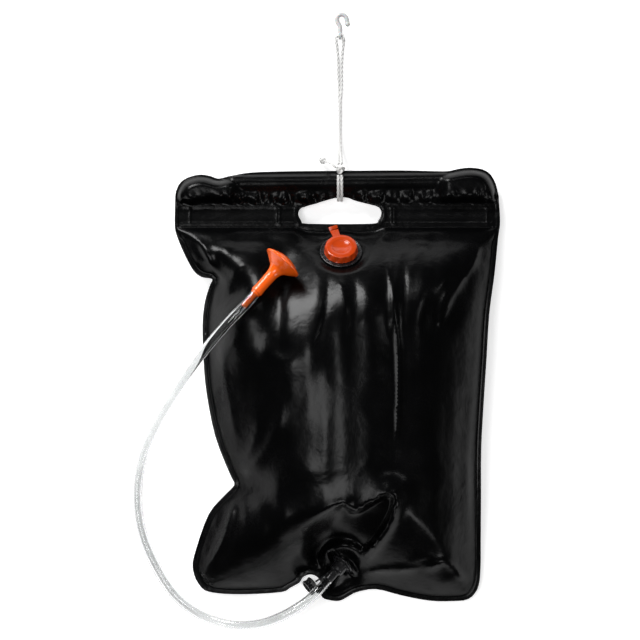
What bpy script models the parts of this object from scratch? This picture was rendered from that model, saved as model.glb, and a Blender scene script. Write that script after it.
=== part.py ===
"""Camp shower bag, lying on its back, half full of air.

The frame: +Z up, +Y from the outlet to the handle, +X to the right of someone who looks down at the
front sheet with the handle at the top. The origin is on the ground under the middle of the bag.
All sizes are in metres, and a share is a part of the size that its comment names.
"""
import math

import bmesh
import bpy
import numpy as np
from mathutils import Matrix, Vector
from mathutils.bvhtree import BVHTree
from mathutils.geometry import delaunay_2d_cdt

# Film and welds
BAG_WIDTH = 0.397
BAG_HEIGHT = 0.530
FILM = 0.0008
SEAT_GAP = 0.0003
SHEET_GAP = 0.0004
WELD_WIDTH = 0.006

# How the bag stands off the ground
WELD_LIFT = 0.034
FRONT_RISE = 0.080
FRONT_REACH = 0.130
BACK_REACH = 0.045

# Top sleeve, its tube and the flat weld band below it
TUBE_RADIUS = 0.009
TUBE_WALL = 0.0018
TUBE_LENGTH = 0.249
TUBE_END_PLAY = 0.005
TUBE_PLAY = 0.0004
TUBE_TURN = math.radians(0.65)
TUBE_EDGE = 0.018
LINE_PLAY = 0.0014
SLEEVE_DEPTH = 0.046
SLEEVE_WELD = 0.0025
SLEEVE_REACH = 0.011
BAND_DEPTH = 0.025
BAND_LIFT = 0.021
HOLE_WIDTH = 0.1015
HOLE_HEIGHT = 0.0322
HOLE_RAISE = 0.0024

# Filler, tilted with the film that carries it
FILLER_TILT = math.radians(42)
FILLER_DROP = 0.027
FLANGE_RADIUS = 0.0255
FLANGE_THICKNESS = 0.002
NECK_BORE = 0.0145
NECK_RADIUS = 0.0172
NECK_HEIGHT = 0.005
NECK_DEPTH = 0.006
CAP_RADIUS = 0.0195
CAP_FLARE = 0.0012
CAP_HEIGHT = 0.0088
CAP_WALL = 0.0025
CAP_DISH = 0.0012
CAP_DISH_RADIUS = 0.011
CAP_ROUND = 0.0015
PLUG_CLEARANCE = 0.0005
PLUG_DEPTH = 0.0075
CAP_GRIPS = 12
GRIP_DEPTH = 0.0012
STRAP_WIDTH = 0.011
STRAP_THICKNESS = 0.0018
STRAP_REACH = 0.0385
STRAP_LEAN = math.radians(13)
STRAP_ROOT_LENGTH = 0.0045

# Outlet, its stopper and the stopper's tether
OUTLET_RISE = math.radians(20)
OUTLET_HEADING = math.radians(227)
OUTLET_LIFT = 0.030
OUTLET_FLANGE_RADIUS = 0.0145
OUTLET_FLANGE_THICKNESS = 0.0018
BOSS_RADIUS = 0.009
BOSS_HEIGHT = 0.0125
BOSS_DEPTH = 0.004
OUTLET_NECK_RADIUS = 0.0055
OUTLET_NECK_LENGTH = 0.0145
SPIGOT_LENGTH = 0.020
SPIGOT_WALL = 0.0014
BARB_HEIGHT = 0.0004
BARBS = 4
TETHER_RING_WIDTH = 0.002
TETHER_THICKNESS = 0.0016
TETHER_WIDTH = 0.0024
TETHER_SIDE = math.radians(75)
TETHER_GAP = 0.0012
TETHER_HIGH = 0.0068
STOPPER_RADIUS = 0.0095
STOPPER_LENGTH = 0.011
STOPPER_WALL = 0.002
STOPPER_RIBS = 12
STOPPER_RIB_DEPTH = 0.0008
STOPPER_LIFT = 0.0105
STOPPER_HEADING = math.radians(217)
STOPPER_RISE = math.radians(15)

# Hose
HOSE_RADIUS = 0.006
HOSE_BORE = 0.00425
SPIGOT_CLEARANCE = 0.0004
HOSE_STEP = 0.024

# Shower head
HEAD_DIP = math.radians(10)
HEAD_HEADING = math.radians(48.5)
HEAD_RADIUS = 0.024
HEAD_LENGTH = 0.050
BELL_LENGTH = 0.022
HEAD_NECK_RADIUS = 0.007
HEAD_BORE = 0.005
HEAD_WALL = 0.0018
STEM_RADIUS = 0.0043
STEM_COLLAR = 0.0058
STEM_COLLAR_LENGTH = 0.0025
STEM_REACH = 0.026
SEAL_RADIUS = 0.0007
SEAL_CLEARANCE = 0.0003
SEAL_PLACE = 0.020
HEAD_TRAVEL = 0.008
ROSE_THICKNESS = 0.0015
ROSE_DOME = 0.004
ROSE_HOLE_RADIUS = 0.0009
ROSE_PITCH = 0.0056
ROSE_RINGS = 3
ROSE_FIRST_RING = 6

# Line and hook
LINE_RADIUS = 0.0019
LINE_EDGE = 0.0165
LINE_STEP = 0.0095
KNOT_WIDTH = 0.0128
KNOT_LENGTH = 0.0106
KNOT_HEIGHT = 0.011
TAIL_KNOT_WIDTH = 0.0100
TAIL_KNOT_LENGTH = 0.0085
HOOK_ROD = 0.0026
HOOK_TIP = 0.0031
HOOK_EYE_WIDTH = 0.0036
HOOK_EYE_RADIUS = 0.0046
HOOK_EYE_CLEARANCE = 0.0005

# How finely curved things are cut into flats
GRID = 0.019
SEAT_SPACING = 0.002
WELD_SPACING = 0.006
FOLD_SPACING = 0.010
EDGE_STEP = 0.0025
MERGE = 0.00001
OVERRUN = 0.002
ROUND_SIDES = 32
SMALL_SIDES = 20
BAR_SIDES = 24
HOLE_SIDES = 6
EDGE_CURVE_STEPS = 3
ROUTE_STEPS = 12
ROUTE_TURN = math.radians(9)
LINE_TURN = math.radians(16)

# The bag's edge, clockwise from the left end of the band, in shares of BAG_WIDTH and BAG_HEIGHT from
# the bag's middle. The sides are drawn in because the bag is full, and the left one is pinched.
EDGE_SHARES = [
    (-0.500, 0.363), (-0.500, 0.414), (-0.497, 0.446), (-0.475, 0.472), (-0.428, 0.484),
    (-0.391, 0.481), (-0.367, 0.475), (-0.336, 0.480), (-0.268, 0.489), (-0.146, 0.492),
    (0.008, 0.493), (0.193, 0.494), (0.315, 0.492), (0.346, 0.493), (0.377, 0.498),
    (0.418, 0.500), (0.462, 0.491), (0.488, 0.462), (0.498, 0.416), (0.500, 0.370),
    (0.494, 0.338), (0.482, 0.253), (0.466, 0.165), (0.457, 0.057), (0.448, -0.047),
    (0.441, -0.150), (0.441, -0.258), (0.441, -0.357), (0.441, -0.422), (0.434, -0.467),
    (0.405, -0.495), (0.352, -0.500), (0.285, -0.499), (0.199, -0.487), (0.119, -0.472),
    (0.060, -0.479), (0.036, -0.488), (0.008, -0.499), (-0.023, -0.498), (-0.048, -0.491),
    (-0.052, -0.472), (-0.052, -0.456), (-0.063, -0.443), (-0.084, -0.438), (-0.106, -0.444),
    (-0.117, -0.457), (-0.146, -0.469), (-0.173, -0.479), (-0.284, -0.484), (-0.376, -0.481),
    (-0.420, -0.468), (-0.446, -0.424), (-0.434, -0.376), (-0.396, -0.298), (-0.352, -0.258),
    (-0.325, -0.238), (-0.316, -0.226), (-0.330, -0.205), (-0.375, -0.118), (-0.402, -0.017),
    (-0.411, 0.059), (-0.414, 0.138), (-0.407, 0.190), (-0.391, 0.230), (-0.384, 0.243),
    (-0.414, 0.247), (-0.437, 0.258), (-0.457, 0.281), (-0.476, 0.310), (-0.492, 0.339),
]

# The handle hole, in shares of HOLE_WIDTH from its middle and of HOLE_HEIGHT from its lower edge.
# The line pulls the upper edge up to a peak.
HOLE_SHARES = [
    (-0.38, 0.00), (-0.46, 0.11), (-0.50, 0.36), (-0.475, 0.57), (-0.42, 0.645), (-0.255, 0.80),
    (-0.14, 0.91), (-0.02, 0.995), (0.09, 0.99), (0.20, 0.86), (0.43, 0.68), (0.485, 0.57),
    (0.50, 0.36), (0.46, 0.11), (0.37, 0.00),
]

# Height of the weld over the ground in shares of WELD_LIFT, at shares of the way from the bag's foot
# to the band.
LIFT_PLACE_SHARES = [0.0, 0.033, 0.113, 0.22, 0.354, 0.54, 0.756, 0.863, 0.943, 1.0]
LIFT_SHARES = [0.24, 0.30, 0.42, 0.72, 0.95, 1.0, 1.0, 0.90, 0.72, 0.617]

# Folds in the front sheet: points in shares of BAG_WIDTH and BAG_HEIGHT, the share of the front's
# rise that the fold adds or takes, and the share of FRONT_REACH that it is wide.
FOLD_SHARES = [
    ([(-0.167, 0.283), (-0.173, 0.195), (-0.167, 0.092)], -0.16, 0.14),
    ([(0.171, 0.306), (0.174, 0.080), (0.171, -0.189)], -0.06, 0.13),
    ([(-0.330, -0.228), (-0.232, -0.247), (-0.115, -0.258)], -0.24, 0.14),
    ([(-0.158, -0.311), (-0.016, -0.272), (0.156, -0.247)], 0.10, 0.16),
    ([(0.162, -0.251), (0.137, -0.307), (0.070, -0.364)], 0.08, 0.14),
    ([(0.484, 0.359), (0.426, 0.278), (0.315, 0.144)], -0.12, 0.13),
    ([(-0.490, 0.352), (-0.407, 0.283), (-0.315, 0.214)], -0.18, 0.13),
    ([(-0.324, -0.247), (-0.354, -0.311), (-0.385, -0.403)], -0.12, 0.13),
    ([(-0.325, 0.170), (-0.330, 0.100)], 0.40, 0.22),
    ([(-0.150, 0.262), (-0.165, 0.281)], -0.20, 0.28),
    ([(-0.040, -0.440), (0.022, -0.425)], -0.78, 0.20),
]

# Rows of points along the sleeve, in shares of the radius of the film round the tube: between the
# first and the last the film lies against the tube
ROW_SHARES = [0.90, 0.72, 0.47, 0.17, -0.17, -0.55]
SPREAD_SHARE = 0.7

# Places in shares of BAG_WIDTH and BAG_HEIGHT from the bag's middle
FILLER_ACROSS_SHARE = 0.011
OUTLET_SHARES = (0.017, -0.410)
STOPPER_SHARES = (-0.083, -0.463)
HEAD_SHARES = (-0.165, 0.281)
HOLE_ACROSS_SHARE = 0.0075
LINE_ACROSS_SHARE = 0.008
TUBE_ACROSS_SHARE = 0.004
PILLOW_SHARE = 0.30

# The bell from its mouth to the neck: shares of BELL_LENGTH, and shares of the way out from the
# neck's radius to the mouth's
BELL_SHARES = [(0.0, 1.0), (0.10, 0.98), (0.23, 0.735), (0.39, 0.47), (0.52, 0.235), (0.64, 0.12),
               (0.82, 0.035), (1.0, 0.0)]

# Where the hose runs between its two fittings, in metres. The first points follow the outlet's
# spigot, and the last lead into the shower head.
HOSE_ROUTE = [
    (-0.0375, -0.2622, 0.0478), (-0.0525, -0.2722, 0.0487), (-0.0700, -0.2815, 0.0465),
    (-0.0900, -0.2890, 0.0410), (-0.1110, -0.2925, 0.0335), (-0.1320, -0.2920, 0.0258),
    (-0.1530, -0.2868, 0.0185), (-0.1730, -0.2775, 0.0125), (-0.1910, -0.2645, 0.0083),
    (-0.2070, -0.2465, 0.0065), (-0.2225, -0.2208, 0.0062), (-0.2352, -0.1928, 0.0062),
    (-0.2427, -0.1647, 0.0062), (-0.2452, -0.1366, 0.0063), (-0.2429, -0.1086, 0.0082),
    (-0.2345, -0.0780, 0.0140), (-0.2190, -0.0460, 0.0255), (-0.2010, -0.0160, 0.0410),
    (-0.1835, 0.0110, 0.0580), (-0.1680, 0.0330, 0.0725), (-0.1525, 0.0520, 0.0850),
    (-0.1385, 0.0683, 0.0935), (-0.1250, 0.0832, 0.0978),
]

# The line's pieces, from a place LINE_EDGE below the bag's top, in metres: up along the left strand,
# through the hook's eye and back down the right strand, which lies on the left one for half the way
LINE_ROUTE = [
    (-0.0018, 0.0204, 0.0090), (-0.0017, 0.0250, 0.0045), (-0.0010, 0.0340, -0.0050),
    (-0.0005, 0.0440, -0.0112), (-0.0003, 0.0580, -0.0136), (-0.0004, 0.0750, -0.0139),
    (-0.0005, 0.0950, -0.0139), (-0.0010, 0.1120, -0.0139), (-0.0019, 0.1280, -0.0139),
    (-0.0022, 0.1450, -0.0139), (-0.0030, 0.1590, -0.0134), (-0.0040, 0.1680, -0.0124),
    (-0.00445, 0.1730, -0.0116), (-0.0044, 0.1755, -0.0113), (-0.0036, 0.1774, -0.0112),
    (-0.0022, 0.1782, -0.0112), (0.0, 0.1783, -0.0112), (0.0022, 0.1782, -0.0112),
    (0.0036, 0.1774, -0.0112), (0.0044, 0.1755, -0.0113), (0.00445, 0.1730, -0.0116),
    (0.0040, 0.1670, -0.0125), (0.0030, 0.1580, -0.0135), (0.0022, 0.1450, -0.0139),
    (0.0021, 0.1300, -0.0139), (0.0020, 0.1170, -0.0129), (0.0012, 0.1050, -0.0106),
    (0.0005, 0.0940, -0.0098), (0.0004, 0.0750, -0.0098), (0.0003, 0.0580, -0.0094),
    (0.0006, 0.0440, -0.0064), (0.0012, 0.0340, 0.0004), (0.0020, 0.0250, 0.0094),
    (0.0022, 0.0203, 0.0134),
]
# One strand round the sleeve: from the knot over the front, into the handle hole, under the back
# and up to the knot again
LOOP_ROUTE = [
    (0.0071, 0.0126), (0.0028, 0.0132), (-0.0019, 0.0131), (-0.0066, 0.0123), (-0.0132, 0.0095),
    (-0.0191, 0.0056), (-0.0226, 0.0023), (-0.0235, -0.0015), (-0.0222, -0.0056), (-0.0169, -0.0092),
    (-0.0103, -0.0117), (-0.0038, -0.0125), (0.0028, -0.0123), (0.0089, -0.0096), (0.0130, -0.0053),
    (0.0147, -0.0004), (0.0150, 0.0038), (0.0149, 0.0056),
]
LOOP_APART = 0.0043
KNOT_PLACE = (0.0, 0.0136, 0.0118)
TAIL_ROUTE = [
    (-0.0058, 0.0170, 0.0124), (-0.0085, 0.0196, 0.0110), (-0.0115, 0.0220, 0.0060),
    (-0.0140, 0.0238, -0.0010), (-0.0168, 0.0250, -0.0070), (-0.0200, 0.0256, -0.0105),
]
TAIL_KNOT_PLACE = (-0.0215, 0.0256, -0.0108)

# The hook's rod from the same place: out of its eye, round the crook and to the open tip
HOOK_EYE = (0.0, 0.1783, -0.0112)
HOOK_ROUTE = [
    (0.0, 0.1815, -0.0112), (0.0001, 0.1860, -0.0114), (-0.0002, 0.1902, -0.0118),
    (-0.0024, 0.1936, -0.0122), (-0.0037, 0.1966, -0.0126), (-0.0037, 0.1990, -0.0128),
    (-0.0026, 0.2019, -0.0130), (-0.0004, 0.2039, -0.0131), (0.0023, 0.2045, -0.0132),
    (0.0051, 0.2038, -0.0132), (0.0073, 0.2017, -0.0132), (0.0083, 0.1987, -0.0131),
    (0.0086, 0.1955, -0.0128), (0.0092, 0.1926, -0.0126),
]
TETHER_BOW = (0.0010, 0.0, 0.0030)


def clear_scene():
    """Removes what the file opened with."""
    for old in list(bpy.data.objects):
        bpy.data.objects.remove(old, do_unlink=True)


def material(name, colour, roughness, alpha=1.0):
    """A plastic of one colour."""
    made = bpy.data.materials.new(name)
    made.use_nodes = True
    shader = made.node_tree.nodes["Principled BSDF"]
    shader.inputs["Base Color"].default_value = (*colour, 1.0)
    shader.inputs["Roughness"].default_value = roughness
    shader.inputs["Metallic"].default_value = 0.0
    shader.inputs["Alpha"].default_value = alpha
    return made


def add(name, mesh, finish):
    """Puts a mesh into the scene as one named piece."""
    piece = bpy.data.objects.new(name, mesh)
    mesh.materials.clear()
    mesh.materials.append(finish)
    bpy.context.collection.objects.link(piece)
    return piece


def rounded(mesh, degrees=35):
    """Shades a mesh smooth, apart from its real edges."""
    mesh.shade_smooth()
    mesh.set_sharp_from_angle(angle=math.radians(degrees))
    return mesh


def smooth_line(points, steps, closed=False):
    """Points on a smooth curve through the given ones."""
    given = [np.array(p, float) for p in points]
    count = len(given)
    line = []
    for i in range(count if closed else count - 1):
        if closed:
            a, b, c, d = (given[(i + k) % count] for k in (-1, 0, 1, 2))
        else:
            a, b, c, d = (given[min(max(i + k, 0), count - 1)] for k in (-1, 0, 1, 2))
        for step in range(steps):
            t = step / steps
            line.append(0.5 * (2 * b + (c - a) * t + (2 * a - 5 * b + 4 * c - d) * t ** 2
                               + (3 * b - 3 * c + d - a) * t ** 3))
    if not closed:
        line.append(given[-1])
    return np.array(line)


def spaced_line(points, longest, turn):
    """Fewer points of a fine line: one where it has run a step, or has turned by the given angle."""
    kept = [points[0]]
    heading = points[1] - points[0]
    for here, after in zip(points[1:-1], points[2:]):
        run = np.linalg.norm(here - kept[-1])
        ahead = after - here
        cosine = heading @ ahead / (np.linalg.norm(heading) * np.linalg.norm(ahead))
        if run >= longest or math.acos(min(1.0, cosine)) >= turn:
            kept.append(here)
            heading = ahead
    kept.append(points[-1])
    return np.array(kept)


def along(points, step):
    """Points at even steps along a line."""
    runs = np.linalg.norm(np.diff(points, axis=0), axis=1)
    reached = np.concatenate(([0.0], np.cumsum(runs)))
    places = np.linspace(0.0, reached[-1], max(2, round(reached[-1] / step) + 1))
    return np.stack([np.interp(places, reached, points[:, k]) for k in range(points.shape[1])], axis=1)


def frame_at(point, normal, across=(1.0, 0.0, 0.0)):
    """A placing whose z runs along the normal and whose x lies as near across as it can."""
    z = Vector(normal).normalized()
    x = Vector(across)
    x = (x - z * x.dot(z)).normalized()
    y = z.cross(x)
    turn = Matrix((x, y, z)).transposed().to_4x4()
    return Matrix.Translation(Vector(point)) @ turn


def turned_mesh(name, profile, sides, lobes=0, lobe_depth=0.0, lobe_rows=()):
    """Turns a closed profile of (radius, height) points about z; chosen rows can be scalloped."""
    shape = bmesh.new()
    for turn in range(sides):
        angle = 2 * math.pi * turn / sides
        for row, (radius, height) in enumerate(profile):
            if row in lobe_rows:
                radius -= lobe_depth * (0.5 - 0.5 * math.cos(lobes * angle))
            shape.verts.new((radius * math.cos(angle), radius * math.sin(angle), height))
    shape.verts.ensure_lookup_table()
    rows = len(profile)
    for turn in range(sides):
        after = (turn + 1) % sides
        for row in range(rows):
            below = (row + 1) % rows
            corners = [turn * rows + row, after * rows + row, after * rows + below, turn * rows + below]
            shape.faces.new([shape.verts[k] for k in corners])
    bmesh.ops.remove_doubles(shape, verts=shape.verts, dist=MERGE)
    bmesh.ops.dissolve_degenerate(shape, edges=shape.edges, dist=MERGE)
    loose = [edge for edge in shape.edges if not edge.link_faces]
    bmesh.ops.delete(shape, geom=loose, context="EDGES")
    bmesh.ops.recalc_face_normals(shape, faces=shape.faces)
    mesh = bpy.data.meshes.new(name)
    shape.to_mesh(mesh)
    shape.free()
    return rounded(mesh)


def ellipsoid_mesh(name, width, length, height):
    """A closed oval ball."""
    shape = bmesh.new()
    bmesh.ops.create_icosphere(shape, subdivisions=3, radius=0.5)
    bmesh.ops.scale(shape, vec=(width, length, height), verts=shape.verts)
    mesh = bpy.data.meshes.new(name)
    shape.to_mesh(mesh)
    shape.free()
    mesh.shade_smooth()
    return mesh


def rod_mesh(name, points, radius, resolution=2):
    """A round rod or cord along points, with flat ends, as one closed mesh."""
    curve = bpy.data.curves.new(name + "_route", "CURVE")
    curve.dimensions = "3D"
    curve.bevel_depth = radius
    curve.bevel_resolution = resolution
    curve.use_fill_caps = True
    spline = curve.splines.new("POLY")
    spline.points.add(len(points) - 1)
    for place, point in zip(spline.points, points):
        place.co = (*point, 1.0)
    route = bpy.data.objects.new(name + "_route", curve)
    bpy.context.collection.objects.link(route)
    shaped = route.evaluated_get(bpy.context.evaluated_depsgraph_get())
    mesh = bpy.data.meshes.new_from_object(shaped)
    bpy.data.objects.remove(route, do_unlink=True)
    mesh.name = name
    shape = bmesh.new()
    shape.from_mesh(mesh)
    bmesh.ops.remove_doubles(shape, verts=shape.verts, dist=MERGE)
    bmesh.ops.recalc_face_normals(shape, faces=shape.faces)
    shape.to_mesh(mesh)
    shape.free()
    return rounded(mesh, 50)


def strap_mesh(name, points, width, thickness, up):
    """A flat strap along points, lying square to up."""
    shape = bmesh.new()
    rings = []
    for i, point in enumerate(points):
        ahead = Vector(points[min(i + 1, len(points) - 1)]) - Vector(points[max(i - 1, 0)])
        side = ahead.cross(Vector(up)).normalized() * (width / 2)
        top = side.cross(ahead).normalized() * (thickness / 2)
        middle = Vector(point)
        corners = (middle + side + top, middle - side + top, middle - side - top, middle + side - top)
        rings.append([shape.verts.new(corner) for corner in corners])
    for low, high in zip(rings, rings[1:]):
        for k in range(4):
            shape.faces.new((low[k], low[(k + 1) % 4], high[(k + 1) % 4], high[k]))
    shape.faces.new(rings[0][::-1])
    shape.faces.new(rings[-1])
    bmesh.ops.recalc_face_normals(shape, faces=shape.faces)
    mesh = bpy.data.meshes.new(name)
    shape.to_mesh(mesh)
    shape.free()
    return mesh


def combined(piece, other, operation):
    """Joins another mesh to a piece, or cuts it out, and keeps the result as the piece's mesh."""
    tool = bpy.data.objects.new(piece.name + "_tool", other)
    tool.hide_render = True
    tool.display_type = "WIRE"
    bpy.context.collection.objects.link(tool)
    change = piece.modifiers.new("change", "BOOLEAN")
    change.operation = operation
    change.solver = "EXACT"
    change.object = tool
    shaped = piece.evaluated_get(bpy.context.evaluated_depsgraph_get())
    mesh = bpy.data.meshes.new_from_object(shaped)
    piece.modifiers.remove(change)
    piece.data = mesh
    bpy.data.objects.remove(tool, do_unlink=True)
    return piece


def placed(mesh, frame):
    """Moves a mesh to its place."""
    mesh.transform(frame)
    return mesh


def inside(points, loop):
    """Which points lie inside a closed loop."""
    x, y = points[:, 0:1], points[:, 1:2]
    ax, ay = loop[:, 0], loop[:, 1]
    bx, by = np.roll(ax, -1), np.roll(ay, -1)
    crosses = (ay > y) != (by > y)
    slope = np.where(by == ay, 1.0, by - ay)
    hits = crosses & (x < ax + (y - ay) / slope * (bx - ax))
    return hits.sum(axis=1) % 2 == 1


def nearest_gap(points, others):
    """How far each point is from the nearest of the others."""
    return np.sqrt(((points[:, None, :] - others[None, :, :]) ** 2).sum(axis=2).min(axis=1))


def sheet_mesh(name, loops, rows, extra, height, thickness, below):
    """A thin sheet over a flat outline with holes, raised to height(x, y), as one closed body.

    The first loop is the outline, the others are holes, and edges run along the rows of points.
    Extra points come in groups, the most important first, each with the least spacing to the points
    before. The sheet's thickness goes below the given height, or above it.
    """
    chains = np.concatenate(loops + rows)
    kept = [np.column_stack((chains, height(chains[:, 0], chains[:, 1])))]
    for group, spacing in extra:
        raised = np.column_stack((group, height(group[:, 0], group[:, 1])))
        good = inside(group, loops[0])
        for hole in loops[1:]:
            good &= ~inside(group, hole)
        for point in raised[good]:
            if nearest_gap(point[None], np.concatenate(kept))[0] >= spacing:
                kept.append(point[None])
    spread = np.concatenate(kept)
    lines = []
    first = 0
    for loop in loops:
        lines += [(first + k, first + (k + 1) % len(loop)) for k in range(len(loop))]
        first += len(loop)
    for row in rows:
        lines += [(first + k, first + k + 1) for k in range(len(row) - 1)]
        first += len(row)
    flat, _, triangles, *_ = delaunay_2d_cdt([Vector(p[:2]) for p in spread], lines, [], 0, MERGE)
    flat = np.array([tuple(p) for p in flat])
    triangles = np.array(triangles)
    centres = flat[triangles].mean(axis=1)
    good = inside(centres, loops[0])
    for hole in loops[1:]:
        good &= ~inside(centres, hole)
    triangles = triangles[good]

    x, y = flat[:, 0], flat[:, 1]
    nudge = SEAT_GAP
    slope_x = (height(x + nudge, y) - height(x - nudge, y)) / (2 * nudge)
    slope_y = (height(x, y + nudge) - height(x, y - nudge)) / (2 * nudge)
    normals = np.column_stack((-slope_x, -slope_y, np.ones(len(x))))
    normals /= np.linalg.norm(normals, axis=1)[:, None]
    face = np.column_stack((x, y, height(x, y)))
    other = face + normals * thickness * (-1 if below else 1)
    top, bottom = (face, other) if below else (other, face)

    shape = bmesh.new()
    upper = [shape.verts.new(p) for p in top]
    lower = [shape.verts.new(p) for p in bottom]
    seen = {}
    for a, b, c in triangles:
        ab, ac = flat[b] - flat[a], flat[c] - flat[a]
        if ab[0] * ac[1] - ab[1] * ac[0] < 0:
            b, c = c, b
        shape.faces.new((upper[a], upper[b], upper[c]))
        shape.faces.new((lower[c], lower[b], lower[a]))
        for start, end in ((a, b), (b, c), (c, a)):
            seen[(start, end)] = True
    for start, end in seen:
        if (end, start) not in seen:
            shape.faces.new((upper[end], upper[start], lower[start], lower[end]))
    loose = [v for v in shape.verts if not v.link_faces]
    bmesh.ops.delete(shape, geom=loose, context="VERTS")
    mesh = bpy.data.meshes.new(name)
    shape.to_mesh(mesh)
    shape.free()
    mesh.shade_smooth()
    return mesh


def ramp(value, low, high):
    """0 below low, 1 above high, smooth between."""
    t = np.clip((value - low) / (high - low), 0.0, 1.0)
    return t * t * (3 - 2 * t)


def swell(distance, start, reach):
    """0 up to start, 1 from start and reach on, round like a filled cushion between."""
    t = np.clip((distance - start) / reach, 0.0, 1.0)
    return 1 - (1 - t) ** 2


# The ground plan: the edge, the handle hole and the two weld lines below the sleeve
size = np.array([BAG_WIDTH, BAG_HEIGHT])
edge = smooth_line(np.array(EDGE_SHARES), EDGE_CURVE_STEPS, closed=True)
edge = (edge - (edge.max(axis=0) + edge.min(axis=0)) / 2) / (edge.max(axis=0) - edge.min(axis=0)) * size

TOP = BAG_HEIGHT / 2
TUBE_Y = TOP - TUBE_EDGE
TUBE_X = TUBE_ACROSS_SHARE * BAG_WIDTH
TUBE_Z = 2 * LINE_RADIUS + 2 * SEAT_GAP + LINE_PLAY + FILM + TUBE_PLAY + TUBE_RADIUS
SLEEVE_Y = TOP - SLEEVE_DEPTH
BAND_Y = SLEEVE_Y - BAND_DEPTH
LINE_X = LINE_ACROSS_SHARE * BAG_WIDTH
SLEEVE_RADIUS = TUBE_RADIUS + TUBE_PLAY + FILM
HOLE_X = HOLE_ACROSS_SHARE * BAG_WIDTH
hole = smooth_line(np.array(HOLE_SHARES), EDGE_CURVE_STEPS, closed=True)
hole = hole * (HOLE_WIDTH, HOLE_HEIGHT) + (HOLE_X, BAND_Y + HOLE_RAISE)


def band_foot(x):
    """The lower weld line of the band, which dips below the handle hole."""
    return BAND_Y - WELD_WIDTH * (1 - ramp(np.abs(x - HOLE_X), HOLE_WIDTH / 4, HOLE_WIDTH * 0.6))


def weld_samples(loop, keep, line):
    """Short stretches of weld: their middles and lengths."""
    points = np.concatenate([along(np.vstack((loop, loop[:1])), EDGE_STEP), [loop[0]]])
    middles = (points[1:] + points[:-1]) / 2
    lengths = np.linalg.norm(points[1:] - points[:-1], axis=1)
    good = keep(middles)
    middles, lengths = middles[good], lengths[good]
    line = along(line, EDGE_STEP)
    middles = np.concatenate((middles, (line[1:] + line[:-1]) / 2))
    lengths = np.concatenate((lengths, np.linalg.norm(line[1:] - line[:-1], axis=1)))
    return middles, lengths


def weld_distance(x, y, welds):
    """How far points lie from the weld all round them, smooth where the nearest side changes."""
    middles, lengths = welds
    gaps = (x[:, None] - middles[:, 0]) ** 2 + (y[:, None] - middles[:, 1]) ** 2
    total = (lengths / np.maximum(gaps, MERGE ** 2) ** 2).sum(axis=1)
    return (math.pi / 2 / total) ** (1 / 3)


across = np.linspace(-BAG_WIDTH / 2, BAG_WIDTH / 2, ROUND_SIDES * 2)
chamber_welds = weld_samples(edge, lambda p: p[:, 1] < BAND_Y, np.column_stack((across, band_foot(across))))
sleeve_line = np.column_stack((across, np.full(len(across), SLEEVE_Y)))
sleeve_welds = weld_samples(edge, lambda p: p[:, 1] > SLEEVE_Y, sleeve_line)


def lift(y):
    """Height of the welds over the ground."""
    way = (y + BAG_HEIGHT / 2) / (BAND_Y + BAG_HEIGHT / 2)
    table = smooth_line(np.column_stack((LIFT_PLACE_SHARES, LIFT_SHARES)), EDGE_CURVE_STEPS)
    low = np.interp(way, table[:, 0], table[:, 1]) * WELD_LIFT
    top = BAND_LIFT + (TUBE_Z - BAND_LIFT) * ramp(y, BAND_Y, SLEEVE_Y)
    return np.where(y < BAND_Y, low, top)


def line_gap(x, y, points):
    """How far points lie from a line of straight runs."""
    nearest = np.full(len(x), np.inf)
    for a, b in zip(points, points[1:]):
        run = b - a
        t = np.clip(((x - a[0]) * run[0] + (y - a[1]) * run[1]) / (run @ run), 0.0, 1.0)
        nearest = np.minimum(nearest, np.hypot(x - a[0] - t * run[0], y - a[1] - t * run[1]))
    return nearest


FOLDS = [(np.array(points) * size, amount, width * FRONT_REACH) for points, amount, width in FOLD_SHARES]


def front_rise(x, y):
    """How far the front sheet bulges over the weld below the band."""
    rise = FRONT_RISE * swell(weld_distance(x, y, chamber_welds), WELD_WIDTH, FRONT_REACH)
    for points, amount, width in FOLDS:
        rise = rise * (1 + amount * np.exp(-(line_gap(x, y, points) / width) ** 2))
    return np.where(y < band_foot(x), rise, 0.0)


def tube_line(x):
    """Where the tube's middle runs, a little lower at its left end."""
    return TUBE_Y + (x - TUBE_X) * math.tan(TUBE_TURN)


def sleeve_rise(x, y):
    """How far the sleeve's two sheets stand off their middle: round the tube, and as pillows beside it."""
    middle = SLEEVE_RADIUS
    off = y - tube_line(x)
    steep = max(ROW_SHARES) * middle
    slack = min(ROW_SHARES) * middle
    round_part = np.sqrt(np.maximum(middle ** 2 - off ** 2, MERGE ** 2))
    upper = math.sqrt(middle ** 2 - steep ** 2) - (off - steep) * steep / math.sqrt(middle ** 2 - steep ** 2)
    lower = math.sqrt(middle ** 2 - slack ** 2) - (off - slack) * slack / math.sqrt(middle ** 2 - slack ** 2)
    bulge = np.where(off > steep, upper, np.where(off < slack, lower, round_part))
    end = np.abs(x - TUBE_X) - TUBE_LENGTH / 2
    bulge = np.maximum(bulge - FILM, 0.0) * (1 - ramp(end, TUBE_END_PLAY, TUBE_END_PLAY + SLEEVE_REACH))
    free = PILLOW_SHARE + (1 - PILLOW_SHARE) * ramp(end, -SLEEVE_REACH, SLEEVE_REACH)
    pillow = TUBE_Z * free * swell(weld_distance(x, y, sleeve_welds), SLEEVE_WELD, SLEEVE_REACH)
    pillow = pillow * ramp(line_gap(x, y, np.vstack((hole, hole[:1]))), 0.0, SLEEVE_REACH)
    return np.where(y > SLEEVE_Y, np.maximum(bulge, pillow), 0.0)


def film_base(x, y):
    """The front sheet's outer face before its fittings flatten it."""
    return lift(y) + SHEET_GAP + FILM + front_rise(x, y) + sleeve_rise(x, y)


def plane_over(x, y, point, normal):
    """Height of a sloping plane."""
    return point.z - ((x - point.x) * normal.x + (y - point.y) * normal.y) / normal.z


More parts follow.
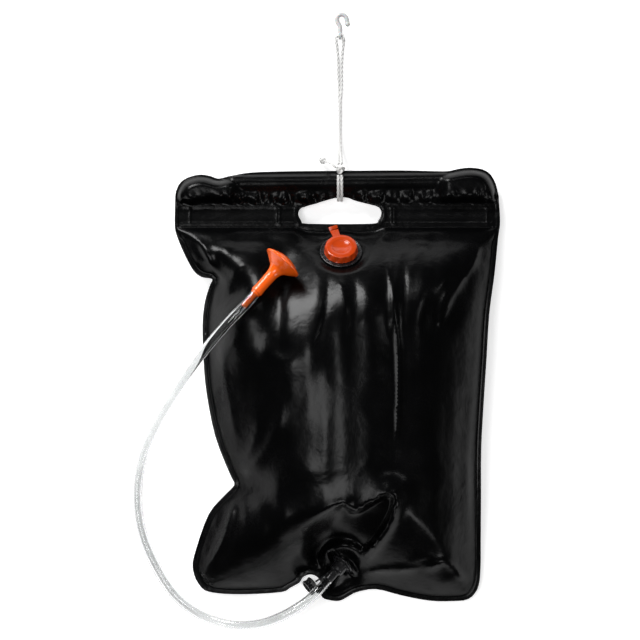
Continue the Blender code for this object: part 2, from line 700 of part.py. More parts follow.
def plane_gap(x, y, z, point):
    """How far points are from a place."""
    return np.sqrt((x - point.x) ** 2 + (y - point.y) ** 2 + (z - point.z) ** 2)


def on_film(x, y):
    """A place on the front sheet before its fittings flatten it."""
    return Vector((x, y, float(film_base(np.array([x]), np.array([y]))[0])))


FILLER_NORMAL = Vector((0.0, math.sin(FILLER_TILT), math.cos(FILLER_TILT)))
FILLER_POINT = on_film(FILLER_ACROSS_SHARE * BAG_WIDTH, float(band_foot(np.array([0.0]))[0]) - FILLER_DROP)
OUTLET_NORMAL = Vector((math.cos(OUTLET_RISE) * math.cos(OUTLET_HEADING),
                        math.cos(OUTLET_RISE) * math.sin(OUTLET_HEADING), math.sin(OUTLET_RISE)))
OUTLET_POINT = Vector((OUTLET_SHARES[0] * BAG_WIDTH, OUTLET_SHARES[1] * BAG_HEIGHT, OUTLET_LIFT))
SEATS = [(FILLER_POINT, FILLER_NORMAL, FLANGE_RADIUS + SEAT_GAP),
         (OUTLET_POINT, OUTLET_NORMAL, OUTLET_FLANGE_RADIUS + SEAT_GAP)]


def front_height(x, y):
    """The front sheet's outer face."""
    height = film_base(x, y)
    for point, normal, radius in SEATS:
        plane = plane_over(x, y, point, normal)
        share = 1 - ramp(plane_gap(x, y, plane, point), radius, radius + SLEEVE_REACH)
        height = height * (1 - share) + plane * share
    return height


def back_height(x, y):
    """The back sheet's outer face, flat on the ground where the bag's weight presses it down."""
    level = lift(y) - FILM
    pressed = swell(weld_distance(x, y, chamber_welds), WELD_WIDTH, BACK_REACH)
    chamber = np.where(y < band_foot(x), level * (1 - pressed), level)
    return np.maximum(np.where(y > SLEEVE_Y, level - sleeve_rise(x, y), chamber), 0.0)


def ring_points(point, normal, radius, count):
    """Points of a circle on a sloping plane, seen from above."""
    frame = frame_at(point, normal, (normal.y, -normal.x, 0.0) if normal.x else (1.0, 0.0, 0.0))
    turns = [2 * math.pi * k / count for k in range(count)]
    places = [frame @ Vector((radius * math.cos(t), radius * math.sin(t), 0.0)) for t in turns]
    return np.array([(p.x, p.y) for p in places])


def inner_line(loop, depth):
    """Points set in from a closed loop."""
    ahead = np.roll(loop, -1, axis=0) - np.roll(loop, 1, axis=0)
    ahead /= np.linalg.norm(ahead, axis=1)[:, None]
    inward = np.column_stack((ahead[:, 1], -ahead[:, 0]))
    moved = loop + inward * depth
    return moved[nearest_gap(moved, loop) > depth * 0.9]


def grid_points(step):
    """Points on staggered rows over the whole bag."""
    rows = []
    row_step = step * math.sqrt(3) / 2
    for k, y in enumerate(np.arange(-BAG_HEIGHT / 2, TOP, row_step)):
        xs = np.arange(-BAG_WIDTH / 2 + (k % 2) * step / 2, BAG_WIDTH / 2, step)
        rows.append(np.column_stack((xs, np.full(len(xs), y))))
    return np.concatenate(rows)


def off_tube(points):
    """The points that lie clear of the tube."""
    off = np.abs(points[:, 1] - tube_line(points[:, 0]))
    end = np.abs(points[:, 0] - TUBE_X) - TUBE_LENGTH / 2
    return points[(off > SLEEVE_RADIUS) | (end > TUBE_END_PLAY)]


def sleeve_rows():
    """Rows of points along the tube."""
    reach = TUBE_LENGTH / 2 + TUBE_END_PLAY
    columns = np.linspace(TUBE_X - reach, TUBE_X + reach, round(2 * reach / GRID) + 1)
    columns = np.concatenate(([columns[0] - SLEEVE_REACH], columns, [columns[-1] + SLEEVE_REACH]))
    return [np.column_stack((columns, tube_line(columns) + share * SLEEVE_RADIUS)) for share in ROW_SHARES]


def film_points():
    """Where both sheets need points of their own, the most important first."""
    span = np.arange(-BAG_WIDTH / 2, BAG_WIDTH / 2, GRID)
    seams = [np.column_stack((span, np.full(len(span), SLEEVE_Y))), np.column_stack((span, band_foot(span)))]
    spread = GRID * SPREAD_SHARE
    creases = np.concatenate([along(points, spread) for points, _, _ in FOLDS[:-1]])
    return [(np.concatenate(seams), WELD_SPACING), (off_tube(inner_line(edge, WELD_WIDTH)), WELD_SPACING),
            (creases, FOLD_SPACING), (off_tube(grid_points(GRID)), spread)]


clear_scene()
BLACK_FILM = material("black_film", (0.012, 0.012, 0.013), 0.32)
BLACK_PLASTIC = material("black_plastic", (0.015, 0.015, 0.016), 0.25)
GREY_PLASTIC = material("grey_plastic", (0.35, 0.35, 0.36), 0.5)
ORANGE_PLASTIC = material("orange_plastic", (0.70, 0.11, 0.015), 0.3)
CLEAR_HOSE = material("clear_hose", (0.82, 0.84, 0.86), 0.12, 0.35)
WHITE_CORD = material("white_cord", (0.85, 0.84, 0.81), 0.8)
WHITE_PLASTIC = material("white_plastic", (0.88, 0.88, 0.86), 0.35)
SEAL_RUBBER = material("seal_rubber", (0.02, 0.02, 0.02), 0.6)

# Sheets
seats = [ring_points(FILLER_POINT, FILLER_NORMAL, FLANGE_RADIUS + SEAT_GAP, SMALL_SIDES),
         ring_points(OUTLET_POINT, OUTLET_NORMAL, OUTLET_FLANGE_RADIUS + SEAT_GAP, SMALL_SIDES)]
filler_hole = ring_points(FILLER_POINT, FILLER_NORMAL, NECK_RADIUS + SEAT_GAP, SMALL_SIDES)
outlet_hole = ring_points(OUTLET_POINT, OUTLET_NORMAL, BOSS_RADIUS + SEAT_GAP, SMALL_SIDES)
front_points = [(np.concatenate(seats), SEAT_SPACING)] + film_points()
front_loops = [edge, hole, filler_hole, outlet_hole]
front_sheet = sheet_mesh("front_panel", front_loops, sleeve_rows(), front_points, front_height, FILM, True)
front = add("front_panel", front_sheet, BLACK_FILM)
back_sheet = sheet_mesh("back_panel", [edge, hole], sleeve_rows(), film_points(), back_height, FILM, False)
add("back_panel", back_sheet, BLACK_FILM)

film_tree = BVHTree.FromObject(front, bpy.context.evaluated_depsgraph_get())


def film_top(x, y):
    """Height of the front sheet as it is faceted."""
    place, _, _, _ = film_tree.ray_cast(Vector((x, y, BAG_HEIGHT)), Vector((0, 0, -1)))
    return place.z if place else 0.0


def film_under(places):
    """The highest that the front sheet comes under some places."""
    return max(film_top(place[0], place[1]) for place in places)


# Tube in the sleeve
tube_profile = [(TUBE_RADIUS - TUBE_WALL, -TUBE_LENGTH / 2), (TUBE_RADIUS, -TUBE_LENGTH / 2),
                (TUBE_RADIUS, TUBE_LENGTH / 2), (TUBE_RADIUS - TUBE_WALL, TUBE_LENGTH / 2)]
tube_way = (math.cos(TUBE_TURN), math.sin(TUBE_TURN), 0.0)
tube_frame = frame_at((TUBE_X, TUBE_Y, TUBE_Z), tube_way, (0.0, 1.0, 0.0))
add("handle_tube", placed(turned_mesh("handle_tube", tube_profile, BAR_SIDES), tube_frame), GREY_PLASTIC)

# Filler: flange with its neck, and the cap with its strap
seat = SEAT_GAP
top = seat + FLANGE_THICKNESS
neck_profile = [
    (NECK_BORE, -NECK_DEPTH), (NECK_RADIUS, -NECK_DEPTH), (NECK_RADIUS, seat),
    (FLANGE_RADIUS - FLANGE_THICKNESS / 2, seat), (FLANGE_RADIUS, seat + FLANGE_THICKNESS / 2),
    (FLANGE_RADIUS - FLANGE_THICKNESS / 2, top), (NECK_RADIUS, top), (NECK_RADIUS, top + NECK_HEIGHT),
    (NECK_BORE, top + NECK_HEIGHT),
]
filler_frame = frame_at(FILLER_POINT, FILLER_NORMAL)
add("filler_flange", placed(turned_mesh("filler_flange", neck_profile, ROUND_SIDES), filler_frame), BLACK_PLASTIC)

cap_foot = top + SEAT_GAP
cap_top = cap_foot + CAP_HEIGHT
skirt = NECK_RADIUS + PLUG_CLEARANCE
plug = NECK_BORE - PLUG_CLEARANCE
shelf = top + NECK_HEIGHT + SEAT_GAP
cap_profile = [
    (skirt, cap_foot), (CAP_RADIUS + CAP_FLARE, cap_foot), (CAP_RADIUS + CAP_FLARE / 2, cap_foot + CAP_HEIGHT / 2),
    (CAP_RADIUS, cap_top - CAP_ROUND), (CAP_RADIUS - CAP_ROUND, cap_top), (CAP_DISH_RADIUS, cap_top),
    (CAP_DISH_RADIUS - CAP_DISH, cap_top - CAP_DISH), (0.0, cap_top - CAP_DISH), (0.0, cap_top - CAP_DISH - CAP_WALL),
    (plug - CAP_WALL, cap_top - CAP_DISH - CAP_WALL), (plug - CAP_WALL, shelf - PLUG_DEPTH),
    (plug - CAP_DISH, shelf - PLUG_DEPTH), (plug, shelf - PLUG_DEPTH + CAP_DISH), (plug, shelf), (skirt, shelf),
]
cap = add("filler_cap", turned_mesh("filler_cap", cap_profile, ROUND_SIDES * 3 // 2, CAP_GRIPS, GRIP_DEPTH, (1, 2)),
          ORANGE_PLASTIC)
strap_way = Vector((-math.sin(STRAP_LEAN), math.cos(STRAP_LEAN), 0.0))
swing_point = filler_frame @ (strap_way * STRAP_REACH)
root_way = filler_frame.to_3x3() @ strap_way
root_way = Vector((root_way.x, root_way.y, 0.0)).normalized()
root_side = Vector((root_way.y, -root_way.x, 0.0)) * (STRAP_WIDTH / 2)
footprint = [swing_point + root_way * STRAP_ROOT_LENGTH * run + root_side * side
             for run in (-1.0, -0.5, 0.0, 0.5, 1.0) for side in (-1.0, 0.0, 1.0)]
swing_point.z = film_under(footprint) + STRAP_THICKNESS / 2 + seat
swing_local = filler_frame.inverted() @ swing_point
strap_high = cap_foot + STRAP_THICKNESS
strap_line = [strap_way * reach + Vector((0.0, 0.0, strap_high))
              for reach in (CAP_RADIUS - CAP_WALL / 2, CAP_RADIUS + CAP_WALL)]
strap_line += [(strap_line[-1] + swing_local) / 2, swing_local - strap_way * STRAP_THICKNESS / 2]
combined(cap, strap_mesh("strap", strap_line, STRAP_WIDTH, STRAP_THICKNESS, (0, 0, 1)), "UNION")
placed(cap.data, filler_frame)
rounded(cap.data)
swing_axis = filler_frame.to_3x3() @ Vector((0, 0, 1)).cross(strap_way)
root_line = [swing_point + root_way * run for run in (seat, seat + STRAP_ROOT_LENGTH)]
add("cap_strap_root", strap_mesh("cap_strap_root", root_line, STRAP_WIDTH, STRAP_THICKNESS, (0, 0, 1)), ORANGE_PLASTIC)


def barbs(start, radius, way):
    """Profile points of the barbs that hold a hose, from their foot out to the spigot's mouth."""
    pitch = SPIGOT_LENGTH / BARBS
    points = []
    for k in range(BARBS):
        low = start + way * k * pitch
        points += [(radius - BARB_HEIGHT, low), (radius, low + way * pitch / 4)]
    points.append((radius - BARB_HEIGHT, start + way * SPIGOT_LENGTH))
    return points


# Outlet with its barbed spigot
barb_radius = HOSE_BORE - SPIGOT_CLEARANCE
outlet_frame = frame_at(OUTLET_POINT, OUTLET_NORMAL, (OUTLET_NORMAL.y, -OUTLET_NORMAL.x, 0.0))
bore = barb_radius - BARB_HEIGHT - SPIGOT_WALL
boss_foot = seat + OUTLET_FLANGE_THICKNESS
boss_top = boss_foot + BOSS_HEIGHT
hose_foot = boss_top + OUTLET_NECK_LENGTH
outlet_profile = [
    (bore, -BOSS_DEPTH), (BOSS_RADIUS, -BOSS_DEPTH), (BOSS_RADIUS, seat), (OUTLET_FLANGE_RADIUS, seat),
    (OUTLET_FLANGE_RADIUS, boss_foot), (BOSS_RADIUS, boss_foot), (BOSS_RADIUS, boss_top - CAP_ROUND),
    (BOSS_RADIUS - CAP_ROUND, boss_top), (OUTLET_NECK_RADIUS, boss_top), (OUTLET_NECK_RADIUS, hose_foot)]
outlet_profile += barbs(hose_foot, barb_radius, 1) + [(bore, hose_foot + SPIGOT_LENGTH)]
add("outlet_fitting", placed(turned_mesh("outlet_fitting", outlet_profile, SMALL_SIDES), outlet_frame), BLACK_PLASTIC)

# Stopper for the spigot, with the ring and strap that keep it
ring_low = seat * 2 + OUTLET_FLANGE_THICKNESS
ring_in = BOSS_RADIUS + SEAT_GAP
ring_profile = [(ring_in, ring_low), (ring_in + TETHER_RING_WIDTH, ring_low),
                (ring_in + TETHER_RING_WIDTH, ring_low + TETHER_THICKNESS), (ring_in, ring_low + TETHER_THICKNESS)]
stopper_way = Vector((math.cos(STOPPER_HEADING) * math.cos(STOPPER_RISE),
                      math.sin(STOPPER_HEADING) * math.cos(STOPPER_RISE), math.sin(STOPPER_RISE)))
stopper_point = Vector((STOPPER_SHARES[0] * BAG_WIDTH, STOPPER_SHARES[1] * BAG_HEIGHT, STOPPER_LIFT))
stopper_frame = frame_at(stopper_point, stopper_way)
ring_middle = ring_in + TETHER_RING_WIDTH / 2
ring_side = outlet_frame @ Vector((ring_middle * math.cos(TETHER_SIDE), ring_middle * math.sin(TETHER_SIDE),
                                   ring_low + TETHER_THICKNESS / 2))
back_up = Vector((0, 0, 1)) - stopper_way * stopper_way.z
tether_end = stopper_point - stopper_way * (STOPPER_LENGTH / 2 + TETHER_GAP) + back_up * TETHER_HIGH
middle = (ring_side + tether_end) / 2 + Vector(TETHER_BOW)
tether = add("stopper_tether", placed(turned_mesh("stopper_tether", ring_profile, SMALL_SIDES), outlet_frame),
             BLACK_PLASTIC)
tether_line = smooth_line([ring_side, middle, tether_end], EDGE_CURVE_STEPS)
combined(tether, rod_mesh("tether", tether_line, TETHER_WIDTH / 2), "UNION")
half = STOPPER_LENGTH / 2
stopper_profile = [
    (0.0, -half), (STOPPER_RADIUS - CAP_ROUND, -half), (STOPPER_RADIUS, -half + CAP_ROUND),
    (STOPPER_RADIUS, half - CAP_ROUND), (STOPPER_RADIUS - CAP_ROUND, half), (STOPPER_RADIUS - STOPPER_WALL, half),
    (STOPPER_RADIUS - STOPPER_WALL, -half + STOPPER_WALL), (0.0, -half + STOPPER_WALL),
]
add("outlet_stopper", placed(turned_mesh("outlet_stopper", stopper_profile, STOPPER_RIBS * 4, STOPPER_RIBS,
                                         STOPPER_RIB_DEPTH, (2, 3)), stopper_frame), BLACK_PLASTIC)

# Shower head, resting with its rim on the front sheet
head_way = Vector((math.cos(HEAD_HEADING) * math.cos(HEAD_DIP), math.sin(HEAD_HEADING) * math.cos(HEAD_DIP),
                   -math.sin(HEAD_DIP)))
head_turn = frame_at((0, 0, 0), head_way, (math.sin(HEAD_HEADING), -math.cos(HEAD_HEADING), 0.0))
head_x, head_y = HEAD_SHARES[0] * BAG_WIDTH, HEAD_SHARES[1] * BAG_HEIGHT
bell = [(HEAD_NECK_RADIUS + (HEAD_RADIUS - HEAD_NECK_RADIUS) * out, -BELL_LENGTH * back) for back, out in BELL_SHARES]
touching = []
for radius, back in bell + [(HEAD_NECK_RADIUS, -HEAD_LENGTH)]:
    for turn in range(ROUND_SIDES):
        angle = 2 * math.pi * turn / ROUND_SIDES
        place = head_turn @ Vector((radius * math.cos(angle), radius * math.sin(angle), back))
        touching.append(film_top(head_x + place.x, head_y + place.y) - place.z)
head_point = Vector((head_x, head_y, max(touching) + 2 * SEAT_GAP))
head_frame = Matrix.Translation(head_point) @ head_turn

lip = HEAD_RADIUS - HEAD_WALL
rose_radius = lip - SEAT_GAP
rose_edge = ROSE_DOME * (1 - (rose_radius / HEAD_RADIUS) ** 2) - SEAT_GAP
shelf = rose_edge - ROSE_THICKNESS - SEAT_GAP
inner = [(max(radius - HEAD_WALL, HEAD_BORE), back) for radius, back in bell if back < shelf - HEAD_WALL]
body_profile = bell + [
    (HEAD_NECK_RADIUS, HEAD_WALL / 2 - HEAD_LENGTH), (HEAD_NECK_RADIUS - HEAD_WALL / 2, -HEAD_LENGTH),
    (HEAD_BORE, -HEAD_LENGTH)] + inner[::-1] + [
    (lip - HEAD_WALL, shelf - HEAD_WALL / 2), (lip - HEAD_WALL, shelf), (lip, shelf), (lip, 0.0)]
add("head_body", placed(turned_mesh("head_body", body_profile, ROUND_SIDES), head_frame), ORANGE_PLASTIC)


def rose_height(x, y):
    """The rose's domed outer face."""
    return ROSE_DOME * (1 - (x ** 2 + y ** 2) / HEAD_RADIUS ** 2) - SEAT_GAP


def circle(x, y, radius, count):
    """Points of a flat circle."""
    turns = 2 * math.pi * np.arange(count) / count
    return np.column_stack((x + radius * np.cos(turns), y + radius * np.sin(turns)))


rose_loops = [circle(0.0, 0.0, rose_radius, ROUND_SIDES), circle(0.0, 0.0, ROSE_HOLE_RADIUS, HOLE_SIDES)]
for ring in range(1, ROSE_RINGS + 1):
    for way in circle(0.0, 0.0, ring * ROSE_PITCH, ROSE_FIRST_RING * ring):
        rose_loops.append(circle(*way, ROSE_HOLE_RADIUS, HOLE_SIDES))
rose = sheet_mesh("head_rose", rose_loops, [], [], rose_height, ROSE_THICKNESS, True)
add("head_rose", placed(rose, head_frame), ORANGE_PLASTIC)

stem_top = STEM_REACH - HEAD_LENGTH
stem_foot = -HEAD_LENGTH - SEAT_GAP
hose_top = stem_foot - STEM_COLLAR_LENGTH
seal_middle = SEAL_PLACE - HEAD_LENGTH
seal_ring = HEAD_BORE - SEAL_CLEARANCE - SEAL_RADIUS
groove = seal_ring - SEAL_RADIUS - SEAL_CLEARANCE
groove_half = SEAL_RADIUS + SEAL_CLEARANCE
stem_profile = [(bore, hose_top - SPIGOT_LENGTH), (bore, seal_middle - BOSS_DEPTH), (0.0, seal_middle - BOSS_DEPTH),
                (0.0, stem_top), (STEM_RADIUS - BARB_HEIGHT, stem_top), (STEM_RADIUS, stem_top - BARB_HEIGHT),
                (STEM_RADIUS, seal_middle + groove_half), (groove, seal_middle + groove_half),
                (groove, seal_middle - groove_half), (STEM_RADIUS, seal_middle - groove_half),
                (STEM_RADIUS, stem_foot), (STEM_COLLAR, stem_foot), (STEM_COLLAR, hose_top)]
stem_profile += barbs(hose_top, barb_radius, -1)
add("head_stem", placed(turned_mesh("head_stem", stem_profile, SMALL_SIDES), head_frame), ORANGE_PLASTIC)
seal_profile = [(seal_ring + x, seal_middle + y) for x, y in circle(0.0, 0.0, SEAL_RADIUS, HOLE_SIDES)]
add("head_seal", placed(turned_mesh("head_seal", seal_profile, SMALL_SIDES), head_frame), SEAL_RUBBER)

# Hose, pushed over both spigots
straight = [0.0, SPIGOT_LENGTH / 2, SPIGOT_LENGTH]
route = [outlet_frame @ Vector((0, 0, hose_foot + SEAT_GAP + run)) for run in straight]
route += [Vector(place) for place in HOSE_ROUTE]
route += [head_frame @ Vector((0, 0, hose_top - SEAT_GAP - run)) for run in reversed(straight)]
fine = smooth_line(route, ROUTE_STEPS)
hose = add("hose", rod_mesh("hose", spaced_line(fine, HOSE_STEP, ROUTE_TURN), HOSE_RADIUS, 4), CLEAR_HOSE)
socket = [(0.0, -OVERRUN), (HOSE_BORE, -OVERRUN), (HOSE_BORE, SPIGOT_LENGTH + OVERRUN),
          (0.0, SPIGOT_LENGTH + OVERRUN)]
outlet_socket = placed(turned_mesh("socket", socket, SMALL_SIDES), outlet_frame @ Matrix.Translation((0, 0, hose_foot)))
combined(hose, outlet_socket, "DIFFERENCE")
head_socket = placed(turned_mesh("socket", socket, SMALL_SIDES),
                     head_frame @ Matrix.Translation((0, 0, hose_top)) @ Matrix.Rotation(math.pi, 4, "X"))
combined(hose, head_socket, "DIFFERENCE")
rounded(hose.data, 50)

# Line: the doubled strand, two turns round the sleeve, the knots and the hook
line_frame = Matrix.Translation((LINE_X, TOP - LINE_EDGE, TUBE_Z))


def line_points(route, step, turn):
    """Points of a piece of the line, from the middle of the tube."""
    fine = smooth_line([line_frame @ Vector(place) for place in route], ROUTE_STEPS)
    return spaced_line(fine, step, turn)


add("hanging_line", rod_mesh("hanging_line", line_points(LINE_ROUTE, LINE_STEP, LINE_TURN), LINE_RADIUS), WHITE_CORD)
for name, side in (("sleeve_loop_left", -1), ("sleeve_loop_right", 1)):
    loop = [(side * LOOP_APART / 2, y, z) for y, z in LOOP_ROUTE]
    add(name, rod_mesh(name, line_points(loop, LINE_STEP, ROUTE_TURN), LINE_RADIUS), WHITE_CORD)
knot = ellipsoid_mesh("line_knot", KNOT_WIDTH, KNOT_LENGTH, KNOT_HEIGHT)
add("line_knot", placed(knot, line_frame @ Matrix.Translation(KNOT_PLACE)), WHITE_CORD)
tail = ellipsoid_mesh("line_tail", TAIL_KNOT_WIDTH, TAIL_KNOT_LENGTH, TAIL_KNOT_LENGTH)
tail = add("line_tail", placed(tail, line_frame @ Matrix.Translation(TAIL_KNOT_PLACE)), WHITE_CORD)
combined(tail, rod_mesh("tail", line_points(TAIL_ROUTE, LINE_STEP, ROUTE_TURN), LINE_RADIUS), "UNION")

eye_hole = LINE_RADIUS + HOOK_EYE_CLEARANCE
eye_profile = [(eye_hole, -HOOK_EYE_WIDTH / 2), (HOOK_EYE_RADIUS, -HOOK_EYE_WIDTH / 2),
               (HOOK_EYE_RADIUS, HOOK_EYE_WIDTH / 2), (eye_hole, HOOK_EYE_WIDTH / 2)]
eye_frame = line_frame @ frame_at(HOOK_EYE, (1.0, 0.0, 0.0), (0.0, 1.0, 0.0))
hook = add("line_hook", placed(turned_mesh("line_hook", eye_profile, SMALL_SIDES), eye_frame), WHITE_PLASTIC)
rod = line_points(HOOK_ROUTE, LINE_STEP, ROUTE_TURN)
combined(hook, rod_mesh("rod", rod, HOOK_ROD, 3), "UNION")
tip = ellipsoid_mesh("tip", HOOK_TIP * 2, HOOK_TIP * 2, HOOK_TIP * 2)
combined(hook, placed(tip, Matrix.Translation(rod[-1])), "UNION")
rounded(hook.data)
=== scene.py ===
import math

import bmesh
import bpy
import numpy as np
from mathutils import Matrix, Vector, noise
from mathutils.geometry import delaunay_2d_cdt
from mathutils.kdtree import KDTree


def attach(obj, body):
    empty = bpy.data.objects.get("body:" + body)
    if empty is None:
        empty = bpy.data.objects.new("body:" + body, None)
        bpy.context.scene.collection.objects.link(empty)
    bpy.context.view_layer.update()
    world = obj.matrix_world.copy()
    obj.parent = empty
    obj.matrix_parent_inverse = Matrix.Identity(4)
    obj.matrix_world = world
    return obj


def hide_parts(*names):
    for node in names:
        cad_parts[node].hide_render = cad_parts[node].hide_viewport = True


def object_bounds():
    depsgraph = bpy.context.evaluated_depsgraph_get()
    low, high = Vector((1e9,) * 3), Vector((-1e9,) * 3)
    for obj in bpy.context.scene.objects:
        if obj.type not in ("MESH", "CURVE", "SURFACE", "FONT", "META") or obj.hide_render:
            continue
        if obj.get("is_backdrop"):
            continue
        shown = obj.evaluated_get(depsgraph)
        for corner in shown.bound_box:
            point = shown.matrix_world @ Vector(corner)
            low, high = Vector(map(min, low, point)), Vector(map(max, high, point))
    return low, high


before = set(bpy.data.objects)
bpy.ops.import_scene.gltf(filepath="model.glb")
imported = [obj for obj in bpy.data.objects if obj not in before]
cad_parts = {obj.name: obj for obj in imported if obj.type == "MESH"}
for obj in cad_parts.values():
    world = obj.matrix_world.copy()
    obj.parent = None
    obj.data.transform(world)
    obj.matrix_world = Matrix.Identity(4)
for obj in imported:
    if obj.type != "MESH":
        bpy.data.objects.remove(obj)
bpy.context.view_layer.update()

# Camp shower bag on its back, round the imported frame: +Z up, +Y from the outlet to the handle, +X to
# the bag's right edge, in metres. The origin is on the ground under the middle of the bag. A table
# named SHARES holds parts of the size of what it shapes.

# Studio
# The bag is photographed from straight above, on a white table. A large soft lamp stands beyond its
# top left corner, a wide one hangs over it, a third stands off its lower right corner, and two small
# ones put the sharp lights on the moulded parts.
PIXEL = 0.00122
PIXEL_OVER_ORIGIN = (337.35, 384.75)
PHOTO_SIDE = 640
CAMERA_HEIGHT = 5.0
FOCUS_HEIGHT = 0.020
SENSOR = 36.0
CLIP_END = 100.0
# Each lamp's place, width, depth and share of a plain level of light
LAMPS = {
    "strip_lamp": ((-1.06, 2.00, 1.22), 0.95, 1.00, 1.10),
    "fill_lamp": ((-0.75, -0.10, 2.75), 1.45, 0.85, 0.38),
    "low_lamp": ((1.35, -1.55, 1.70), 0.9, 0.9, 0.20),
    "left_small_lamp": ((0.09, 1.75, 1.60), 0.12, 0.12, 0.030),
    "right_small_lamp": ((1.42, 0.69, 1.81), 0.25, 0.25, 0.050),
}
SKY_LEVEL = 0.06
TABLE_SIDE = 30.0
TABLE_COLOUR = (0.90, 0.90, 0.90)
TABLE_WHITENING = 0.58
WHITE = (1.0, 1.0, 1.0)


def from_photo(across, down):
    """The place on the ground plan under a pixel of the photograph."""
    return ((across - PIXEL_OVER_ORIGIN[0]) * PIXEL, (PIXEL_OVER_ORIGIN[1] - down) * PIXEL)


def add_object(name, data):
    """A new object in the scene."""
    made = bpy.data.objects.new(name, data)
    bpy.context.collection.objects.link(made)
    return made


def plug(socket, value):
    """Gives a socket a node's output, a colour or a plain value."""
    if isinstance(value, bpy.types.NodeSocket):
        socket.id_data.links.new(value, socket)
    elif isinstance(value, tuple):
        socket.default_value = (*value, 1.0)
    else:
        socket.default_value = value


camera_data = bpy.data.cameras.new("camera")
camera_data.sensor_width = SENSOR
camera_data.lens = SENSOR * (CAMERA_HEIGHT - FOCUS_HEIGHT) / (PHOTO_SIDE * PIXEL)
camera_data.clip_end = CLIP_END
camera = add_object("camera", camera_data)
camera.location = (*from_photo(PHOTO_SIDE / 2, PHOTO_SIDE / 2), CAMERA_HEIGHT)
bpy.context.scene.camera = camera
bpy.context.scene.view_settings.view_transform = "Standard"

for name, (place, width, depth, share) in LAMPS.items():
    place = Vector(place)
    light = bpy.data.lights.new(name, "AREA")
    light.shape = "RECTANGLE"
    light.size = width
    light.size_y = depth
    light.energy = share * math.pi ** 2 * place.length_squared
    lamp = add_object(name, light)
    lamp.location = place
    lamp.rotation_euler = place.to_track_quat("Z", "Y").to_euler()

world = bpy.data.worlds.new("sky")
world.use_nodes = True
sky = world.node_tree.nodes["Background"].inputs
plug(sky["Color"], WHITE)
plug(sky["Strength"], SKY_LEVEL)
bpy.context.scene.world = world


class Nodes:
    """Short calls for the nodes of a tree."""

    def node(self, kind, settings=None, **links):
        """A new node; a link is an output or a plain value, named by its socket with _ for a space."""
        made = self.tree.nodes.new(kind)
        for key, value in (settings or {}).items():
            setattr(made, key, value)
        for key, value in links.items():
            plug(made.inputs[int(key[1:]) if key[1:].isdigit() else key.replace("_", " ")], value)
        return made

    def math(self, operation, first, second):
        """A sum on values or outputs."""
        return self.node("ShaderNodeMath", {"operation": operation}, n0=first, n1=second).outputs[0]


class Finish(Nodes):
    """One material: plain values on its shader's own sockets, and the nodes of its pattern."""

    def __init__(self, name, **values):
        self.material = bpy.data.materials.new(name)
        self.material.use_nodes = True
        self.tree = self.material.node_tree
        self.shader = self.tree.nodes["Principled BSDF"].inputs
        self.place = self.node("ShaderNodeTexCoord").outputs["Object"]
        for key, value in values.items():
            plug(self.shader[key.replace("_", " ").title().replace("Ior", "IOR")], value)

    def noise(self, size, detail=3.0, roughness=0.55, distortion=0.0):
        """Soft blotches of about the given size in metres."""
        return self.node("ShaderNodeTexNoise", Vector=self.place, Scale=1.0 / size, Detail=detail,
                         Roughness=roughness, Distortion=distortion).outputs["Fac"]

    def ramp(self, value, low, high, at_low=0.0, at_high=1.0):
        """Maps a value from one range to another, and keeps it inside."""
        return self.node("ShaderNodeMapRange", Value=value, From_Min=low, From_Max=high, To_Min=at_low,
                         To_Max=at_high).outputs["Result"]

    def mix(self, share, first, second):
        """A colour between two."""
        return self.node("ShaderNodeMix", {"data_type": "RGBA"}, Factor=share, n6=first, n7=second).outputs[2]

    def bump(self, height, depth, under=None):
        """Fine relief of the given depth in metres."""
        made = self.node("ShaderNodeBump", Strength=1.0, Distance=depth, Height=height)
        if under:
            plug(made.inputs["Normal"], under)
        return made.outputs["Normal"]

    def wear(self, colour, roughness, normal):
        """Puts the pattern's colour, roughness and relief on the shader."""
        plug(self.shader["Base Color"], colour)
        plug(self.shader["Roughness"], roughness)
        plug(self.shader["Normal"], normal)


# The table: white, whiter where the camera, a mirror or clear plastic sees it, with the bag's shadow
table_finish = Finish("table_white", roughness=0.9, base_color=TABLE_COLOUR, emission_color=WHITE)
rays = table_finish.node("ShaderNodeLightPath").outputs
seen = table_finish.math("MAXIMUM", rays["Is Camera Ray"], rays["Is Glossy Ray"])
seen = table_finish.math("MAXIMUM", seen, rays["Is Transmission Ray"])
plug(table_finish.shader["Emission Strength"], table_finish.math("MULTIPLY", seen, TABLE_WHITENING))
half = TABLE_SIDE / 2
corners = [(-half, -half, 0), (half, -half, 0), (half, half, 0), (-half, half, 0)]
table_mesh = bpy.data.meshes.new("table")
table_mesh.from_pydata(corners, [], [(0, 1, 2, 3)])
table_mesh.materials.append(table_finish.material)
table = add_object("table", table_mesh)
table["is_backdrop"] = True


# Fittings' places, which the hose and the film both need
# The filler and the outlet are moulded flanges welded into the film, and the shower head lies on it.
SEAT_GAP = 0.0003
FILLER_POINT = Vector((0.00437, 0.161, 0.05058))
FILLER_LEAN = math.radians(42)
FILLER_NORMAL = Vector((0.0, math.sin(FILLER_LEAN), math.cos(FILLER_LEAN)))
OUTLET_POINT = Vector((0.00675, -0.2173, 0.030))
OUTLET_RISE = math.radians(20)
OUTLET_HEADING = math.radians(227)
HEAD_POINT = Vector((-0.0655, 0.14893, 0.08558))
HEAD_DIP = math.radians(10)
HEAD_HEADING = math.radians(48.5)


def way_of(heading, rise):
    """The direction with a heading on the plan and a rise over it."""
    return Vector((math.cos(rise) * math.cos(heading), math.cos(rise) * math.sin(heading), math.sin(rise)))


def frame_at(point, normal, across=(1.0, 0.0, 0.0)):
    """A placing whose z runs along the normal and whose x lies as near across as it can."""
    z = Vector(normal).normalized()
    x = Vector(across)
    x = (x - z * x.dot(z)).normalized()
    y = z.cross(x)
    return Matrix.Translation(Vector(point)) @ Matrix((x, y, z)).transposed().to_4x4()


